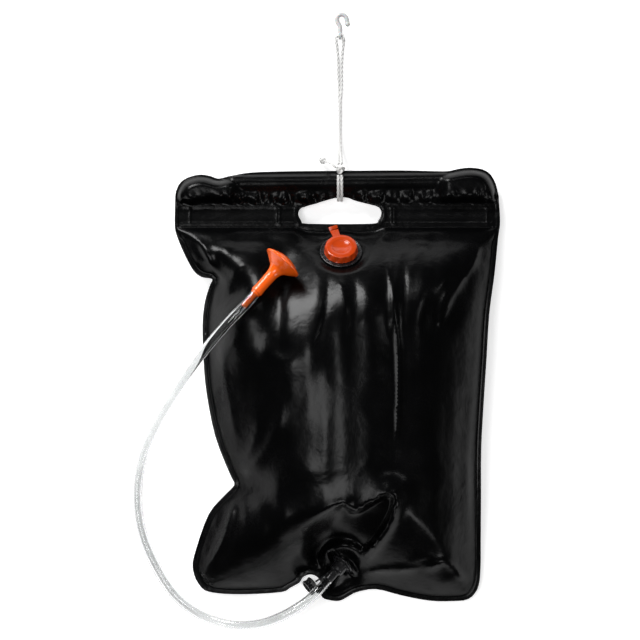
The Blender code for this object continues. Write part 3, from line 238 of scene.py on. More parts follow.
OUTLET_NORMAL = way_of(OUTLET_HEADING, OUTLET_RISE)
HEAD_WAY = way_of(HEAD_HEADING, -HEAD_DIP)
filler_frame = frame_at(FILLER_POINT, FILLER_NORMAL)
outlet_frame = frame_at(OUTLET_POINT, OUTLET_NORMAL, (OUTLET_NORMAL.y, -OUTLET_NORMAL.x, 0.0))
head_frame = frame_at(HEAD_POINT, HEAD_WAY, (math.sin(HEAD_HEADING), -math.cos(HEAD_HEADING), 0.0))


# Hose
# A clear soft PVC tube, 12 mm outside, pushed over the barbs of the outlet and of the shower head. It
# keeps its own curve: out over the foot of the bag, along the table and up over the bag's left side.
HOSE_RADIUS = 0.006
HOSE_BORE = 0.00425
HOSE_SIDES = 48
SPIGOT_LENGTH = 0.020
HOSE_FOOT = 0.0291
HOSE_TOP = -0.0528
HOSE_ROUTE = [
    (-0.0375, -0.2622, 0.0478), (-0.0525, -0.2722, 0.0487), (-0.0700, -0.2815, 0.0465),
    (-0.0900, -0.2890, 0.0410), (-0.1110, -0.2925, 0.0335), (-0.1320, -0.2920, 0.0258),
    (-0.1530, -0.2868, 0.0185), (-0.1730, -0.2775, 0.0125), (-0.1910, -0.2645, 0.0083),
    (-0.2070, -0.2465, 0.0065), (-0.2225, -0.2208, 0.0062), (-0.2352, -0.1928, 0.0062),
    (-0.2427, -0.1647, 0.0062), (-0.2452, -0.1366, 0.0063), (-0.2429, -0.1086, 0.0082),
    (-0.2345, -0.0780, 0.0140), (-0.2190, -0.0460, 0.0255), (-0.2010, -0.0160, 0.0410),
    (-0.1835, 0.0110, 0.0580), (-0.1680, 0.0330, 0.0725), (-0.1525, 0.0520, 0.0850),
    (-0.1385, 0.0683, 0.0935), (-0.1250, 0.0832, 0.0978),
]
ROUTE_STEPS = 12


def smooth_line(points, steps, closed=False):
    """Points on a smooth curve through the given ones."""
    given = [np.array(p, float) for p in points]
    count = len(given)
    line = []
    for i in range(count if closed else count - 1):
        near = range(i - 1, i + 3)
        if closed:
            a, b, c, d = (given[k % count] for k in near)
        else:
            a, b, c, d = (given[min(max(k, 0), count - 1)] for k in near)
        for step in range(steps):
            t = step / steps
            line.append(0.5 * (2 * b + (c - a) * t + (2 * a - 5 * b + 4 * c - d) * t ** 2
                               + (3 * b - 3 * c + d - a) * t ** 3))
    if not closed:
        line.append(given[-1])
    return np.array(line)


def reached_at(points):
    """Length of a line of straight runs up to each of its points."""
    runs = np.linalg.norm(np.diff(points, axis=0), axis=1)
    return np.concatenate(([0.0], np.cumsum(runs)))


def final_mesh(thing):
    """An object's mesh with its modifiers taken in."""
    return bpy.data.meshes.new_from_object(thing.evaluated_get(bpy.context.evaluated_depsgraph_get()))


def change(piece, kind, **settings):
    """Changes a piece by a modifier, and leaves it as a plain mesh."""
    modifier = piece.modifiers.new(kind.lower(), kind)
    for key, value in settings.items():
        setattr(modifier, key, value)
    mesh = final_mesh(piece)
    piece.modifiers.clear()
    piece.data = mesh
    return piece


def shade(piece, degrees=40):
    """Shades a piece smooth, apart from its real edges."""
    piece.data.shade_smooth()
    piece.data.set_sharp_from_angle(angle=math.radians(degrees))
    return piece


def assign(piece, node, body):
    """Says which CAD node a piece stands for by hiding that node, and what the piece moves with."""
    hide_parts(node)
    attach(piece, body)


class Maker(Nodes):
    """A Geometry Nodes tree with named inputs that turns a route into a mesh."""

    kinds = {int: "NodeSocketInt", float: "NodeSocketFloat", bool: "NodeSocketBool"}

    def __init__(self, name, **inputs):
        self.tree = bpy.data.node_groups.new(name, "GeometryNodeTree")
        self.values = inputs
        self.keys = {}
        face = self.tree.interface
        face.new_socket("Geometry", in_out="INPUT", socket_type="NodeSocketGeometry")
        face.new_socket("Geometry", in_out="OUTPUT", socket_type="NodeSocketGeometry")
        for key, value in inputs.items():
            kind = self.kinds.get(type(value), "NodeSocketMaterial")
            self.keys[key] = face.new_socket(key, in_out="INPUT", socket_type=kind).identifier
        self.given = self.node("NodeGroupInput").outputs

    def finish(self, geometry):
        """Ends the tree with real geometry in the given material."""
        real = self.node("GeometryNodeRealizeInstances", Geometry=geometry).outputs[0]
        done = self.node("GeometryNodeSetMaterial", Geometry=real, Material=self.given["Material"])
        plug(self.node("NodeGroupOutput").inputs[0], done.outputs[0])

    def make(self, name, points, **values):
        """Runs the tree on a route through the points, and returns a plain mesh object."""
        curve = bpy.data.curves.new(name + "_route", "CURVE")
        curve.dimensions = "3D"
        spline = curve.splines.new("POLY")
        spline.points.add(len(points) - 1)
        for knot, point in zip(spline.points, points):
            knot.co = (*point, 1.0)
        route = add_object(name + "_route", curve)
        modifier = route.modifiers.new("make", "NODES")
        modifier.node_group = self.tree
        for key, value in {**self.values, **values}.items():
            modifier[self.keys[key]] = value
        mesh = final_mesh(route)
        mesh.name = name
        bpy.data.objects.remove(route, do_unlink=True)
        return add_object(name, mesh)


def plastic(name, dark, light, smooth, rough, blotch=(0.012, 3.0), shine=0.004, grain=(0.0012, 3.0),
            relief=0.00005, **values):
    """Plastic or rubber: two near shades in blotches, a slightly uneven shine and a fine grain."""
    made = Finish(name, **values)
    made.wear(made.mix(made.ramp(made.noise(*blotch), 0.3, 0.7), dark, light),
              made.ramp(made.noise(shine), 0.3, 0.7, smooth, rough),
              made.bump(made.noise(*grain), relief))
    return made


clear_pvc = plastic("clear_pvc", (0.78, 0.79, 0.79), (0.84, 0.845, 0.845), 0.02, 0.06, (0.02, 4.0), 0.006,
                    (0.018, 2.0), 0.00003, transmission_weight=1.0, ior=1.39, specular_ior_level=0.5)

pipe = Maker("pipe", Radius=HOSE_RADIUS, Sides=HOSE_SIDES, Caps=False, Material=clear_pvc.material)
ring = pipe.node("GeometryNodeCurvePrimitiveCircle", Resolution=pipe.given["Sides"],
                 Radius=pipe.given["Radius"]).outputs[0]
swept = pipe.node("GeometryNodeCurveToMesh", Curve=pipe.given["Geometry"], Profile_Curve=ring,
                  Fill_Caps=pipe.given["Caps"]).outputs[0]
pipe.finish(swept)

straight = (0.0, SPIGOT_LENGTH / 2, SPIGOT_LENGTH)
hose_points = [outlet_frame @ Vector((0, 0, HOSE_FOOT + SEAT_GAP + run)) for run in straight]
hose_points += HOSE_ROUTE
hose_points += [head_frame @ Vector((0, 0, HOSE_TOP - SEAT_GAP - run)) for run in reversed(straight)]
hose_line = smooth_line(hose_points, ROUTE_STEPS)
hose = change(pipe.make("clear_hose", hose_line), "SOLIDIFY", thickness=HOSE_RADIUS - HOSE_BORE, offset=-1.0)
shade(hose)
assign(hose, "hose", "bag")


# Line
# Thin white twisted cord: two turns round the sleeve and its tube, a knot on top of it, and a doubled
# strand that runs up to the hook. Its free end is tied in a small knot of its own.
LINE_RADIUS = 0.0019
STRAND_SHARE = 0.50
STRAND_SIDES = 10
STRAND_COUNT = 3
LINE_PITCH = 0.0165
LINE_STEP = 0.0008
BAG_WIDTH = 0.397
BAG_HEIGHT = 0.530
LINE_EDGE = 0.0165
LINE_X = 0.008 * BAG_WIDTH
# Places from the middle of the tube under the line
LINE_ROUTE = [
    (-0.0018, 0.0204, 0.0090), (-0.0017, 0.0250, 0.0045), (-0.0010, 0.0340, -0.0050),
    (-0.0005, 0.0440, -0.0112), (-0.0003, 0.0580, -0.0136), (-0.0004, 0.0750, -0.0139),
    (-0.0005, 0.0950, -0.0139), (-0.0010, 0.1120, -0.0139), (-0.0019, 0.1280, -0.0139),
    (-0.0022, 0.1450, -0.0139), (-0.0030, 0.1590, -0.0134), (-0.0040, 0.1680, -0.0124),
    (-0.00445, 0.1730, -0.0116), (-0.0044, 0.1755, -0.0113), (-0.0036, 0.1774, -0.0112),
    (-0.0022, 0.1782, -0.0112), (0.0, 0.1783, -0.0112), (0.0022, 0.1782, -0.0112),
    (0.0036, 0.1774, -0.0112), (0.0044, 0.1755, -0.0113), (0.00445, 0.1730, -0.0116),
    (0.0040, 0.1670, -0.0125), (0.0030, 0.1580, -0.0135), (0.0022, 0.1450, -0.0139),
    (0.0021, 0.1300, -0.0139), (0.0020, 0.1170, -0.0129), (0.0012, 0.1050, -0.0106),
    (0.0005, 0.0940, -0.0098), (0.0004, 0.0750, -0.0098), (0.0003, 0.0580, -0.0094),
    (0.0006, 0.0440, -0.0064), (0.0012, 0.0340, 0.0004), (0.0020, 0.0250, 0.0094),
    (0.0022, 0.0203, 0.0134),
]
LOOP_ROUTE = [
    (0.0071, 0.0126), (0.0028, 0.0132), (-0.0019, 0.0131), (-0.0066, 0.0123), (-0.0132, 0.0095),
    (-0.0191, 0.0056), (-0.0226, 0.0023), (-0.0235, -0.0015), (-0.0222, -0.0056), (-0.0169, -0.0092),
    (-0.0103, -0.0117), (-0.0038, -0.0125), (0.0028, -0.0123), (0.0089, -0.0096), (0.0130, -0.0053),
    (0.0147, -0.0004), (0.0150, 0.0038), (0.0149, 0.0056),
]
LOOP_APART = 0.0041
TAIL_ROUTE = [
    (-0.0058, 0.0170, 0.0124), (-0.0085, 0.0196, 0.0110), (-0.0115, 0.0220, 0.0060),
    (-0.0140, 0.0238, -0.0010), (-0.0168, 0.0250, -0.0070), (-0.0200, 0.0256, -0.0105),
]
KNOT_PLACE = Vector((0.0, 0.0136, 0.0118))
KNOT_SIZE = (0.0135, 0.0115, 0.0105)
TAIL_KNOT_PLACE = Vector((-0.0215, 0.0256, -0.0108))
TAIL_KNOT_SIZE = (0.0105, 0.0090, 0.0085)
KNOT_SQUEEZE = 0.92
KNOT_STEPS = 60
KNOT_CURVE_STEPS = 3
CORD_EDGE = 60
TUBE_HEIGHT = 0.0160
line_frame = Matrix.Translation((LINE_X, BAG_HEIGHT / 2 - LINE_EDGE, TUBE_HEIGHT))

white_cord = Finish("white_cord", sheen_weight=0.25, sheen_roughness=0.6)
fibre = white_cord.noise(0.0006, 4.0, 0.6)
soil = white_cord.ramp(white_cord.noise(0.012), 0.35, 0.75)
tint = white_cord.mix(soil, (0.67, 0.67, 0.66), (0.63, 0.63, 0.62))
white_cord.wear(white_cord.mix(white_cord.ramp(fibre, 0.35, 0.7, 0.0, 0.3), tint, (0.62, 0.62, 0.61)),
                white_cord.ramp(fibre, 0.3, 0.7, 0.62, 0.85), white_cord.bump(fibre, 0.00025))

rope = Maker("rope", Radius=LINE_RADIUS, Strands=STRAND_COUNT, Strand=STRAND_SHARE, Pitch=LINE_PITCH,
             Step=LINE_STEP, Sides=STRAND_SIDES, Material=white_cord.material)
even = rope.node("GeometryNodeResampleCurve", {"mode": "LENGTH"}, Curve=rope.given["Geometry"],
                 Length=rope.given["Step"]).outputs[0]
reached = rope.node("GeometryNodeSplineParameter").outputs["Length"]
turns = rope.math("MULTIPLY", rope.math("DIVIDE", reached, rope.given["Pitch"]), 2 * math.pi)
wound = rope.node("GeometryNodeSetCurveTilt", Curve=even, Tilt=turns).outputs[0]
strand = rope.math("MULTIPLY", rope.given["Radius"], rope.given["Strand"])
off = rope.math("SUBTRACT", rope.given["Radius"], strand)
spots = rope.node("GeometryNodeMeshCircle", Vertices=rope.given["Strands"], Radius=off).outputs[0]
ring = rope.node("GeometryNodeCurvePrimitiveCircle", Resolution=rope.given["Sides"], Radius=strand).outputs[0]
bundle = rope.node("GeometryNodeInstanceOnPoints", Points=spots, Instance=ring).outputs[0]
bundle = rope.node("GeometryNodeRealizeInstances", Geometry=bundle).outputs[0]
laid = rope.node("GeometryNodeCurveToMesh", Curve=wound, Profile_Curve=bundle, Fill_Caps=True)
rope.finish(laid.outputs[0])


def line_points(route):
    """Fine points of a piece of the line, from the middle of the tube."""
    return smooth_line([line_frame @ Vector(place) for place in route], ROUTE_STEPS)


def cord_piece(name, node, points, **values):
    """One stretch of twisted cord on the bag."""
    piece = shade(rope.make(name, points, **values), CORD_EDGE)
    assign(piece, node, "bag")
    return piece


def knot_piece(name, node, middle, sides):
    """A knot of the cord: the turns of a trefoil, squeezed to the given size and pulled tight."""
    thick = LINE_RADIUS * KNOT_SQUEEZE
    wide, long, high = (side - 2 * thick for side in sides)
    route = []
    for k in (*range(KNOT_STEPS), 0):
        t = 2 * math.pi * k / KNOT_STEPS
        place = Vector((wide / 6 * (math.sin(t) + 2 * math.sin(2 * t)),
                        long / 6 * (math.cos(t) - 2 * math.cos(2 * t)), -high / 2.4 * math.sin(3 * t)))
        route.append(line_frame @ (middle + place))
    return cord_piece(name, node, smooth_line(route, KNOT_CURVE_STEPS), Radius=thick)


hang_points = line_points(LINE_ROUTE)
hang = cord_piece("hanging_cord", "hanging_line", hang_points)
tail = cord_piece("cord_tail", "line_tail", line_points(TAIL_ROUTE))
main_knot = knot_piece("sleeve_knot", "line_knot", KNOT_PLACE, KNOT_SIZE)
tail_knot = knot_piece("tail_knot", "line_tail", TAIL_KNOT_PLACE, TAIL_KNOT_SIZE)
for side, shift in (("left", -LOOP_APART / 2), ("right", LOOP_APART / 2)):
    loop_points = line_points([(shift, y, z) for y, z in LOOP_ROUTE])
    loop = cord_piece("cord_loop_" + side, "sleeve_loop_" + side, loop_points)


# Hook
# A small hook of whitish nylon: a flat eye that the doubled line passes through, a shank, and an open
# crook whose tip ends in a ball.
HOOK_EYE = (0.0, 0.1783, -0.0112)
HOOK_ROUTE = [
    (0.0, 0.1815, -0.0112), (0.0001, 0.1860, -0.0114), (-0.0002, 0.1902, -0.0118),
    (-0.0024, 0.1936, -0.0122), (-0.0037, 0.1966, -0.0126), (-0.0037, 0.1990, -0.0128),
    (-0.0026, 0.2019, -0.0130), (-0.0004, 0.2039, -0.0131), (0.0023, 0.2045, -0.0132),
    (0.0051, 0.2038, -0.0132), (0.0073, 0.2017, -0.0132), (0.0083, 0.1987, -0.0131),
    (0.0086, 0.1955, -0.0128), (0.0092, 0.1926, -0.0126),
]
HOOK_ROD = 0.0026
HOOK_SIDES = 24
HOOK_TIP = 0.0031
HOOK_EYE_WIDTH = 0.0036
HOOK_EYE_RADIUS = 0.0046
HOOK_EYE_BORE = 0.0024
MERGE = 0.00001


def from_bmesh(name, shape, finish, placing=Matrix()):
    """A new object of the given shape and finish in its place."""
    mesh = bpy.data.meshes.new(name)
    shape.to_mesh(mesh)
    shape.free()
    mesh.transform(placing)
    mesh.materials.append(finish.material)
    return add_object(name, mesh)


def soften(piece, width, degrees):
    """Rounds a piece's corners."""
    return change(piece, "BEVEL", width=width, segments=3, limit_method="ANGLE",
                  angle_limit=math.radians(degrees))


def turned(name, profile, placing, finish, sides=96, rounding=0.0, lobes=0, lobe_depth=0.0, lobe_rows=()):
    """Turns a closed profile of (radius, height) points about z, with rounded corners and scalloped rows."""
    shape = bmesh.new()
    rows = len(profile)
    for turn in range(sides):
        angle = 2 * math.pi * turn / sides
        for row, (radius, height) in enumerate(profile):
            if row in lobe_rows:
                radius -= lobe_depth * (0.5 - 0.5 * math.cos(lobes * angle)) ** 2
            shape.verts.new((radius * math.cos(angle), radius * math.sin(angle), height))
    shape.verts.ensure_lookup_table()
    for turn in range(sides):
        here = turn * rows
        after = (turn + 1) % sides * rows
        for row in range(rows):
            below = (row + 1) % rows
            corners = (here + row, after + row, after + below, here + below)
            shape.faces.new([shape.verts[k] for k in corners])
    bmesh.ops.remove_doubles(shape, verts=shape.verts, dist=MERGE)
    bmesh.ops.dissolve_degenerate(shape, edges=shape.edges, dist=MERGE)
    bmesh.ops.delete(shape, geom=[edge for edge in shape.edges if not edge.link_faces], context="EDGES")
    bmesh.ops.recalc_face_normals(shape, faces=shape.faces)
    piece = from_bmesh(name, shape, finish, placing)
    if rounding:
        soften(piece, rounding, degrees=35)
    return shade(piece)


def joined(piece, *others):
    """Joins other pieces to a piece with exact unions, and drops them."""
    for other in others:
        change(piece, "BOOLEAN", operation="UNION", solver="EXACT", object=other)
        bpy.data.objects.remove(other, do_unlink=True)
    return shade(piece)


nylon = plastic("milky_nylon", (0.52, 0.53, 0.53), (0.46, 0.47, 0.47), 0.25, 0.42, (0.006, 3.0), 0.002,
                relief=0.00008, subsurface_weight=0.25, subsurface_scale=0.004, ior=1.5)
half = HOOK_EYE_WIDTH / 2
hook_eye = turned("hook_eye", [(HOOK_EYE_BORE, -half), (HOOK_EYE_RADIUS, -half), (HOOK_EYE_RADIUS, half),
                               (HOOK_EYE_BORE, half)],
                  line_frame @ frame_at(HOOK_EYE, (1.0, 0.0, 0.0), (0.0, 1.0, 0.0)), nylon, sides=48,
                  rounding=0.0007)
hook_points = line_points(HOOK_ROUTE)
hook_rod = pipe.make("hook_rod", hook_points[::3], Radius=HOOK_ROD, Sides=HOOK_SIDES, Caps=True,
                     Material=nylon.material)
ball = bmesh.new()
bmesh.ops.create_icosphere(ball, subdivisions=4, radius=HOOK_TIP)
ball = from_bmesh("hook_ball", ball, nylon, Matrix.Translation(Vector(hook_points[-1])))
hook = joined(hook_eye, hook_rod, ball)
hook.name = "cord_hook"
assign(hook, "line_hook", "hook")


# Bag film
# Two sheets of black PVC film, welded flat to each other all round, across the band below the sleeve
# and round the handle hole. Water and its own weight pull the front into folds, which run down from
# the band, out of the pinched left side and round the pit that the outlet pulls in.
FILM = 0.0008
SHEET_GAP = 0.0004
SHEET_CLEAR = 0.0001
WELD_WIDTH = 0.006
WELD_LIFT = 0.034
FRONT_RISE = 0.080
FRONT_REACH = 0.130
BACK_REACH = 0.045
TUBE_RADIUS = 0.009
TUBE_WALL = 0.0018
TUBE_LENGTH = 0.249
TUBE_END_PLAY = 0.005
TUBE_PLAY = 0.0004
TUBE_TURN = math.radians(0.65)
TUBE_EDGE = 0.018
SLEEVE_DEPTH = 0.046
SLEEVE_WELD = 0.0025
SLEEVE_REACH = 0.011
SLEEVE_STEEP_SHARE = 0.90
SLEEVE_SLACK_SHARE = -0.55
PILLOW_LEAST = 0.30
BAND_DEPTH = 0.025
BAND_LIFT = 0.021
BAND_DIP = 0.0035
HOLE_WIDTH = 0.1015
HOLE_HEIGHT = 0.0322
HOLE_RAISE = 0.0024
FLANGE_RADIUS = 0.0255
OUTLET_FLANGE_RADIUS = 0.0145
FILLER_HOLE = 0.0175
OUTLET_HOLE = 0.0093
EDGE_SHARES = [
    (-0.500, 0.363), (-0.500, 0.414), (-0.497, 0.446), (-0.475, 0.472), (-0.428, 0.484),
    (-0.391, 0.481), (-0.367, 0.475), (-0.336, 0.480), (-0.268, 0.489), (-0.146, 0.492),
    (0.008, 0.493), (0.193, 0.494), (0.315, 0.492), (0.346, 0.493), (0.377, 0.498),
    (0.418, 0.500), (0.462, 0.491), (0.488, 0.462), (0.498, 0.416), (0.500, 0.370),
    (0.494, 0.338), (0.482, 0.253), (0.466, 0.165), (0.457, 0.057), (0.448, -0.047),
    (0.441, -0.150), (0.441, -0.258), (0.441, -0.357), (0.441, -0.422), (0.434, -0.467),
    (0.405, -0.495), (0.352, -0.500), (0.285, -0.499), (0.199, -0.487), (0.119, -0.472),
    (0.060, -0.479), (0.036, -0.488), (0.008, -0.499), (-0.023, -0.498), (-0.048, -0.491),
    (-0.052, -0.472), (-0.052, -0.456), (-0.063, -0.443), (-0.084, -0.438), (-0.106, -0.444),
    (-0.117, -0.457), (-0.146, -0.469), (-0.173, -0.479), (-0.284, -0.484), (-0.376, -0.481),
    (-0.420, -0.468), (-0.446, -0.424), (-0.434, -0.376), (-0.396, -0.298), (-0.352, -0.258),
    (-0.325, -0.238), (-0.316, -0.226), (-0.330, -0.205), (-0.375, -0.118), (-0.402, -0.017),
    (-0.411, 0.059), (-0.414, 0.138), (-0.407, 0.190), (-0.391, 0.230), (-0.384, 0.243),
    (-0.414, 0.247), (-0.437, 0.258), (-0.457, 0.281), (-0.476, 0.310), (-0.492, 0.339),
]
HOLE_SHARES = [
    (-0.38, 0.00), (-0.46, 0.11), (-0.50, 0.36), (-0.475, 0.57), (-0.42, 0.645), (-0.255, 0.80),
    (-0.14, 0.91), (-0.02, 0.995), (0.09, 0.99), (0.20, 0.86), (0.43, 0.68), (0.485, 0.57),
    (0.50, 0.36), (0.46, 0.11), (0.37, 0.00),
]
LIFT_PLACE_SHARES = [0.0, 0.033, 0.113, 0.22, 0.354, 0.54, 0.756, 0.863, 0.943, 1.0]
LIFT_SHARES = [0.24, 0.30, 0.42, 0.72, 0.95, 1.0, 1.0, 0.90, 0.72, 0.617]
# Broad folds: points in shares of the bag's size, share of the rise, share of FRONT_REACH for its width
FOLD_SHARES = [
    ([(-0.167, 0.283), (-0.173, 0.195), (-0.167, 0.092)], -0.16, 0.14),
    ([(0.171, 0.306), (0.174, 0.080), (0.171, -0.189)], -0.06, 0.13),
    ([(-0.330, -0.228), (-0.300, -0.233), (-0.260, -0.238)], -0.24, 0.14),
    ([(-0.158, -0.311), (-0.016, -0.272), (0.156, -0.247)], 0.10, 0.16),
    ([(0.162, -0.251), (0.137, -0.307), (0.070, -0.364)], 0.08, 0.14),
    ([(0.484, 0.359), (0.426, 0.278), (0.315, 0.144)], -0.12, 0.13),
    ([(-0.490, 0.352), (-0.407, 0.283), (-0.315, 0.214)], -0.18, 0.13),
    ([(-0.324, -0.247), (-0.354, -0.311), (-0.385, -0.403)], -0.12, 0.13),
    ([(-0.325, 0.170), (-0.330, 0.100)], 0.40, 0.22),
    ([(-0.150, 0.262), (-0.165, 0.281)], -0.20, 0.28),
    ([(-0.040, -0.440), (0.022, -0.425)], -0.78, 0.20),
]
# Creases in the front: places in the photograph, height of the crest and half its width in metres
CREASES = [
    ([(177, 234), (200, 243), (215, 270), (232, 286)], 0.0059, 0.0049),
    ([(181, 246), (203, 262), (216, 274)], 0.0032, 0.0041),
    ([(220, 262), (236, 276), (243, 300), (247, 330)], 0.0019, 0.0082),
    ([(286, 266), (287, 300), (287, 330), (285, 356)], 0.0019, 0.0105),
    ([(328, 276), (326, 305), (320, 335), (312, 352)], -0.0018, 0.0045),
    ([(337, 272), (343, 292), (345, 320)], 0.0018, 0.0049),
    ([(352, 270), (356, 300), (352, 340)], -0.0013, 0.0049),
    ([(362, 275), (366, 300), (361, 330)], 0.0013, 0.0066),
    ([(386, 240), (388, 268), (391, 300), (389, 345)], 0.0024, 0.0037),
    ([(395, 236), (396, 268), (393, 300), (397, 350), (397, 410), (394, 455), (393, 480)], 0.0028, 0.0041),
    ([(402, 250), (404, 290), (401, 330)], -0.0016, 0.0041),
    ([(410, 262), (418, 252), (428, 244)], 0.0011, 0.0057),
    ([(405, 282), (411, 268), (414, 256)], 0.0009, 0.0049),
    ([(497, 226), (480, 245), (472, 264), (458, 284), (448, 300), (440, 322), (431, 345)], 0.0034, 0.0049),
    ([(449, 286), (441, 303), (436, 322)], 0.0016, 0.0033),
    ([(486, 262), (480, 300), (477, 350), (471, 420), (468, 470), (469, 530), (468, 568)], 0.0027, 0.0049),
    ([(226, 300), (222, 330), (226, 380), (233, 420), (238, 452)], 0.0019, 0.0066),
    ([(248, 358), (262, 350), (285, 361), (312, 360)], 0.0003, 0.0040),
    ([(283, 392), (280, 420), (268, 446), (252, 466), (236, 481)], 0.0031, 0.0082),
    ([(262, 400), (258, 430), (247, 458), (237, 478)], 0.0011, 0.0057),
    ([(236, 481), (232, 510), (224, 538), (212, 560), (198, 578)], 0.0049, 0.0057),
    ([(236, 482), (244, 505), (248, 530)], 0.0019, 0.0066),
    ([(300, 524), (316, 511), (331, 503), (345, 500), (353, 507),
      (364, 502), (378, 494), (391, 491)], 0.0038, 0.0066),
    ([(391, 491), (393, 504), (387, 521), (374, 540), (362, 550), (348, 546)], 0.0056, 0.0049),
    ([(396, 500), (392, 520), (380, 540), (366, 560), (356, 574)], 0.0032, 0.0049),
    ([(396, 497), (412, 514), (430, 532), (446, 552), (458, 570)], 0.0030, 0.0135),
    ([(420, 569), (432, 564), (442, 560), (452, 566), (462, 578), (472, 584)], 0.0050, 0.0052),
    ([(402, 566), (420, 556), (436, 553)], 0.0018, 0.0066),
    ([(252, 486), (262, 510), (266, 540), (262, 565)], 0.0018, 0.0082),
    ([(276, 492), (286, 515), (286, 545)], 0.0013, 0.0074),
    ([(206, 590), (240, 583), (275, 588)], 0.0020, 0.0049),
    ([(352, 578), (376, 570), (404, 568), (426, 566)], 0.0034, 0.0046),
    ([(174, 238), (190, 252), (204, 272), (214, 296), (219, 322)], 0.0030, 0.0052),
    ([(252, 262), (240, 268), (232, 282), (230, 300)], 0.0024, 0.0058),
]
CREASE_FADE = 0.30
CREASE_REACH = 3.5
CREASE_STEPS = 6
CREST_ROUND = 0.25
# The pit round the outlet: its rim in the photograph, its depth and how far its walls run in
PIT_RIM = [
    (298, 527), (316, 511), (331, 503), (345, 500), (353, 507), (364, 502), (378, 494), (391, 491),
    (393, 504), (387, 521), (375, 540), (364, 553), (352, 573), (330, 588), (312, 580), (299, 556),
]
PIT_SOFT_SIDE = [(326, 504), (298, 527), (299, 556), (312, 580), (330, 588)]
PIT_DEPTH = 0.017
PIT_WALL = 0.007
PIT_SLOPE = 0.026
PIT_STEPS = 4
# Wide soft hollows and swellings: place in the photograph, height, width and length in metres
DENTS = [
    (283, 345, 0.010, 0.018, 0.035), (307, 350, 0.006, 0.020, 0.030), (330, 545, -0.010, 0.030, 0.024),
    (370, 520, -0.004, 0.016, 0.030), (300, 470, 0.002, 0.030, 0.020), (262, 545, 0.004, 0.030, 0.030),
    (440, 470, 0.003, 0.035, 0.060), (350, 420, 0.002, 0.060, 0.050),
]
# The folds fade out beside the fittings, between these two distances from their lines
HEAD_CALM = (0.016, 0.040)
HEAD_RUN = 0.085
HOSE_CALM = (0.007, 0.020)
FLANGE_CALM = 0.014
OUTLET_CALM = 0.006
# Beside the hole the front rises steeply from the band: its drop, its side span and its share
STEEP_DROP = (0.006, 0.022)
STEEP_SIDE = (0.040, 0.060)
STEEP_SHARE = 0.75
GATHER_HEIGHT = 0.0012
GATHER_SIZE = (0.018, 0.16)
GATHER_LEAST = 0.45
GATHER_SPAN = (-0.05, 0.12)
CRUMPLE_HEIGHT = 0.0005
CRUMPLE_SIZE = (0.045, 0.063)
PUCKER_HEIGHT = 0.0011
PUCKER_SIZE = (0.013, 0.05)
PUCKER_REACH = 0.016
PUCKER_DROP = 0.004
SLACK_HEIGHT = 0.0034
SLACK_SIZE = (0.0055, 0.02)
SLACK_DROP = 0.019
SLACK_REACH = 0.006
SLACK_CLEAR = (0.008, 0.02)
BEAD_HEIGHT = 0.0007
BEAD_WIDTH = 0.0007
BEAD_PLACES = (0.0034, 0.0010)
HOLE_BEAD = 0.004
SEAM_HEIGHT = 0.0006
SEAM_WIDTH = 0.0007
SLEEVE_SEAM = -0.0022
BAND_SEAM = 0.0028
MARK_HEIGHT = 0.0006
MARK_WIDTH = 0.0008
MARK_PLACES = (190.0, 277.0, 279.5, 391.5, 394.5, 487.0)
MARK_START = (-0.001, 0.002)
MARK_END = 0.004
MARK_POINTS = 9
HEAD_DENT = 0.0012
HEAD_DENT_RUN = 0.05
HEAD_DENT_SPAN = (0.014, 0.034)
FILM_STEP = 0.0027
BACK_STEP = 0.0042
# Where the sheets need rows of points: in from the edge, out from the hole, beside seams and marks
EDGE_ROWS = (0.0009, 0.0021, 0.0034, 0.0047, 0.0056, 0.0065, 0.0080)
HOLE_ROWS = (0.0015, 0.003, 0.004, 0.005)
SLEEVE_SEAM_ROWS = (0.0014, 0.0, -0.0011, -0.0022, -0.0034)
BAND_SEAM_ROWS = (-0.0014, 0.0, 0.0014, 0.0028, 0.0042)
MARK_ROWS = (-0.0009, 0.0, 0.0009)
SEAM_END = 0.008
EDGE_STEP = 0.0025
EDGE_CURVE_STEPS = 3
RING_STEP = 0.0016
POINT_GAP = 0.0006
GRID_GAP_SHARE = 0.55
NOISE_GAIN = 1.6
BATCH = 4000
LEAST = 0.00001


def ramp(value, low, high):
    """0 below low, 1 above high, smooth between."""
    t = np.clip((value - low) / (high - low), 0.0, 1.0)
    return t * t * (3 - 2 * t)


def swell(distance, start, reach):
    """0 up to start, 1 from start and reach on, round like a filled cushion between."""
    t = np.clip((distance - start) / reach, 0.0, 1.0)
    return 1 - (1 - t) ** 2


def stripe(off, width):
    """1 on a line, and almost 0 at twice the width beside it."""
    return np.exp(-(off / width) ** 2)


def looped(loop):
    """A loop's points with the first one again at their end."""
    return np.vstack((loop, loop[:1]))


def plan_line(x, y):
    """Points of a line on the plan."""
    return np.column_stack(np.broadcast_arrays(x, y))


def along(points, step):
    """Points at even steps along a line."""
    reached = reached_at(points)
    places = np.linspace(0.0, reached[-1], max(2, round(reached[-1] / step) + 1))
    return np.stack([np.interp(places, reached, points[:, k]) for k in range(points.shape[1])], axis=1)


def inside(points, loop):
    """Which points lie inside a closed loop."""
    found = np.zeros(len(points), bool)
    ax, ay = loop[:, 0], loop[:, 1]
    bx, by = np.roll(ax, -1), np.roll(ay, -1)
    slope = np.where(by == ay, 1.0, by - ay)
    for first in range(0, len(points), BATCH):
        x, y = points[first:first + BATCH, 0:1], points[first:first + BATCH, 1:2]
        hits = ((ay > y) != (by > y)) & (x < ax + (y - ay) / slope * (bx - ax))
        found[first:first + BATCH] = hits.sum(axis=1) % 2 == 1
    return found


def on_sheet(points, loops):
    """Which points lie inside a sheet's first loop and outside its others."""
    good = inside(points, loops[0])
    for loop in loops[1:]:
        good &= ~inside(points, loop)
    return good


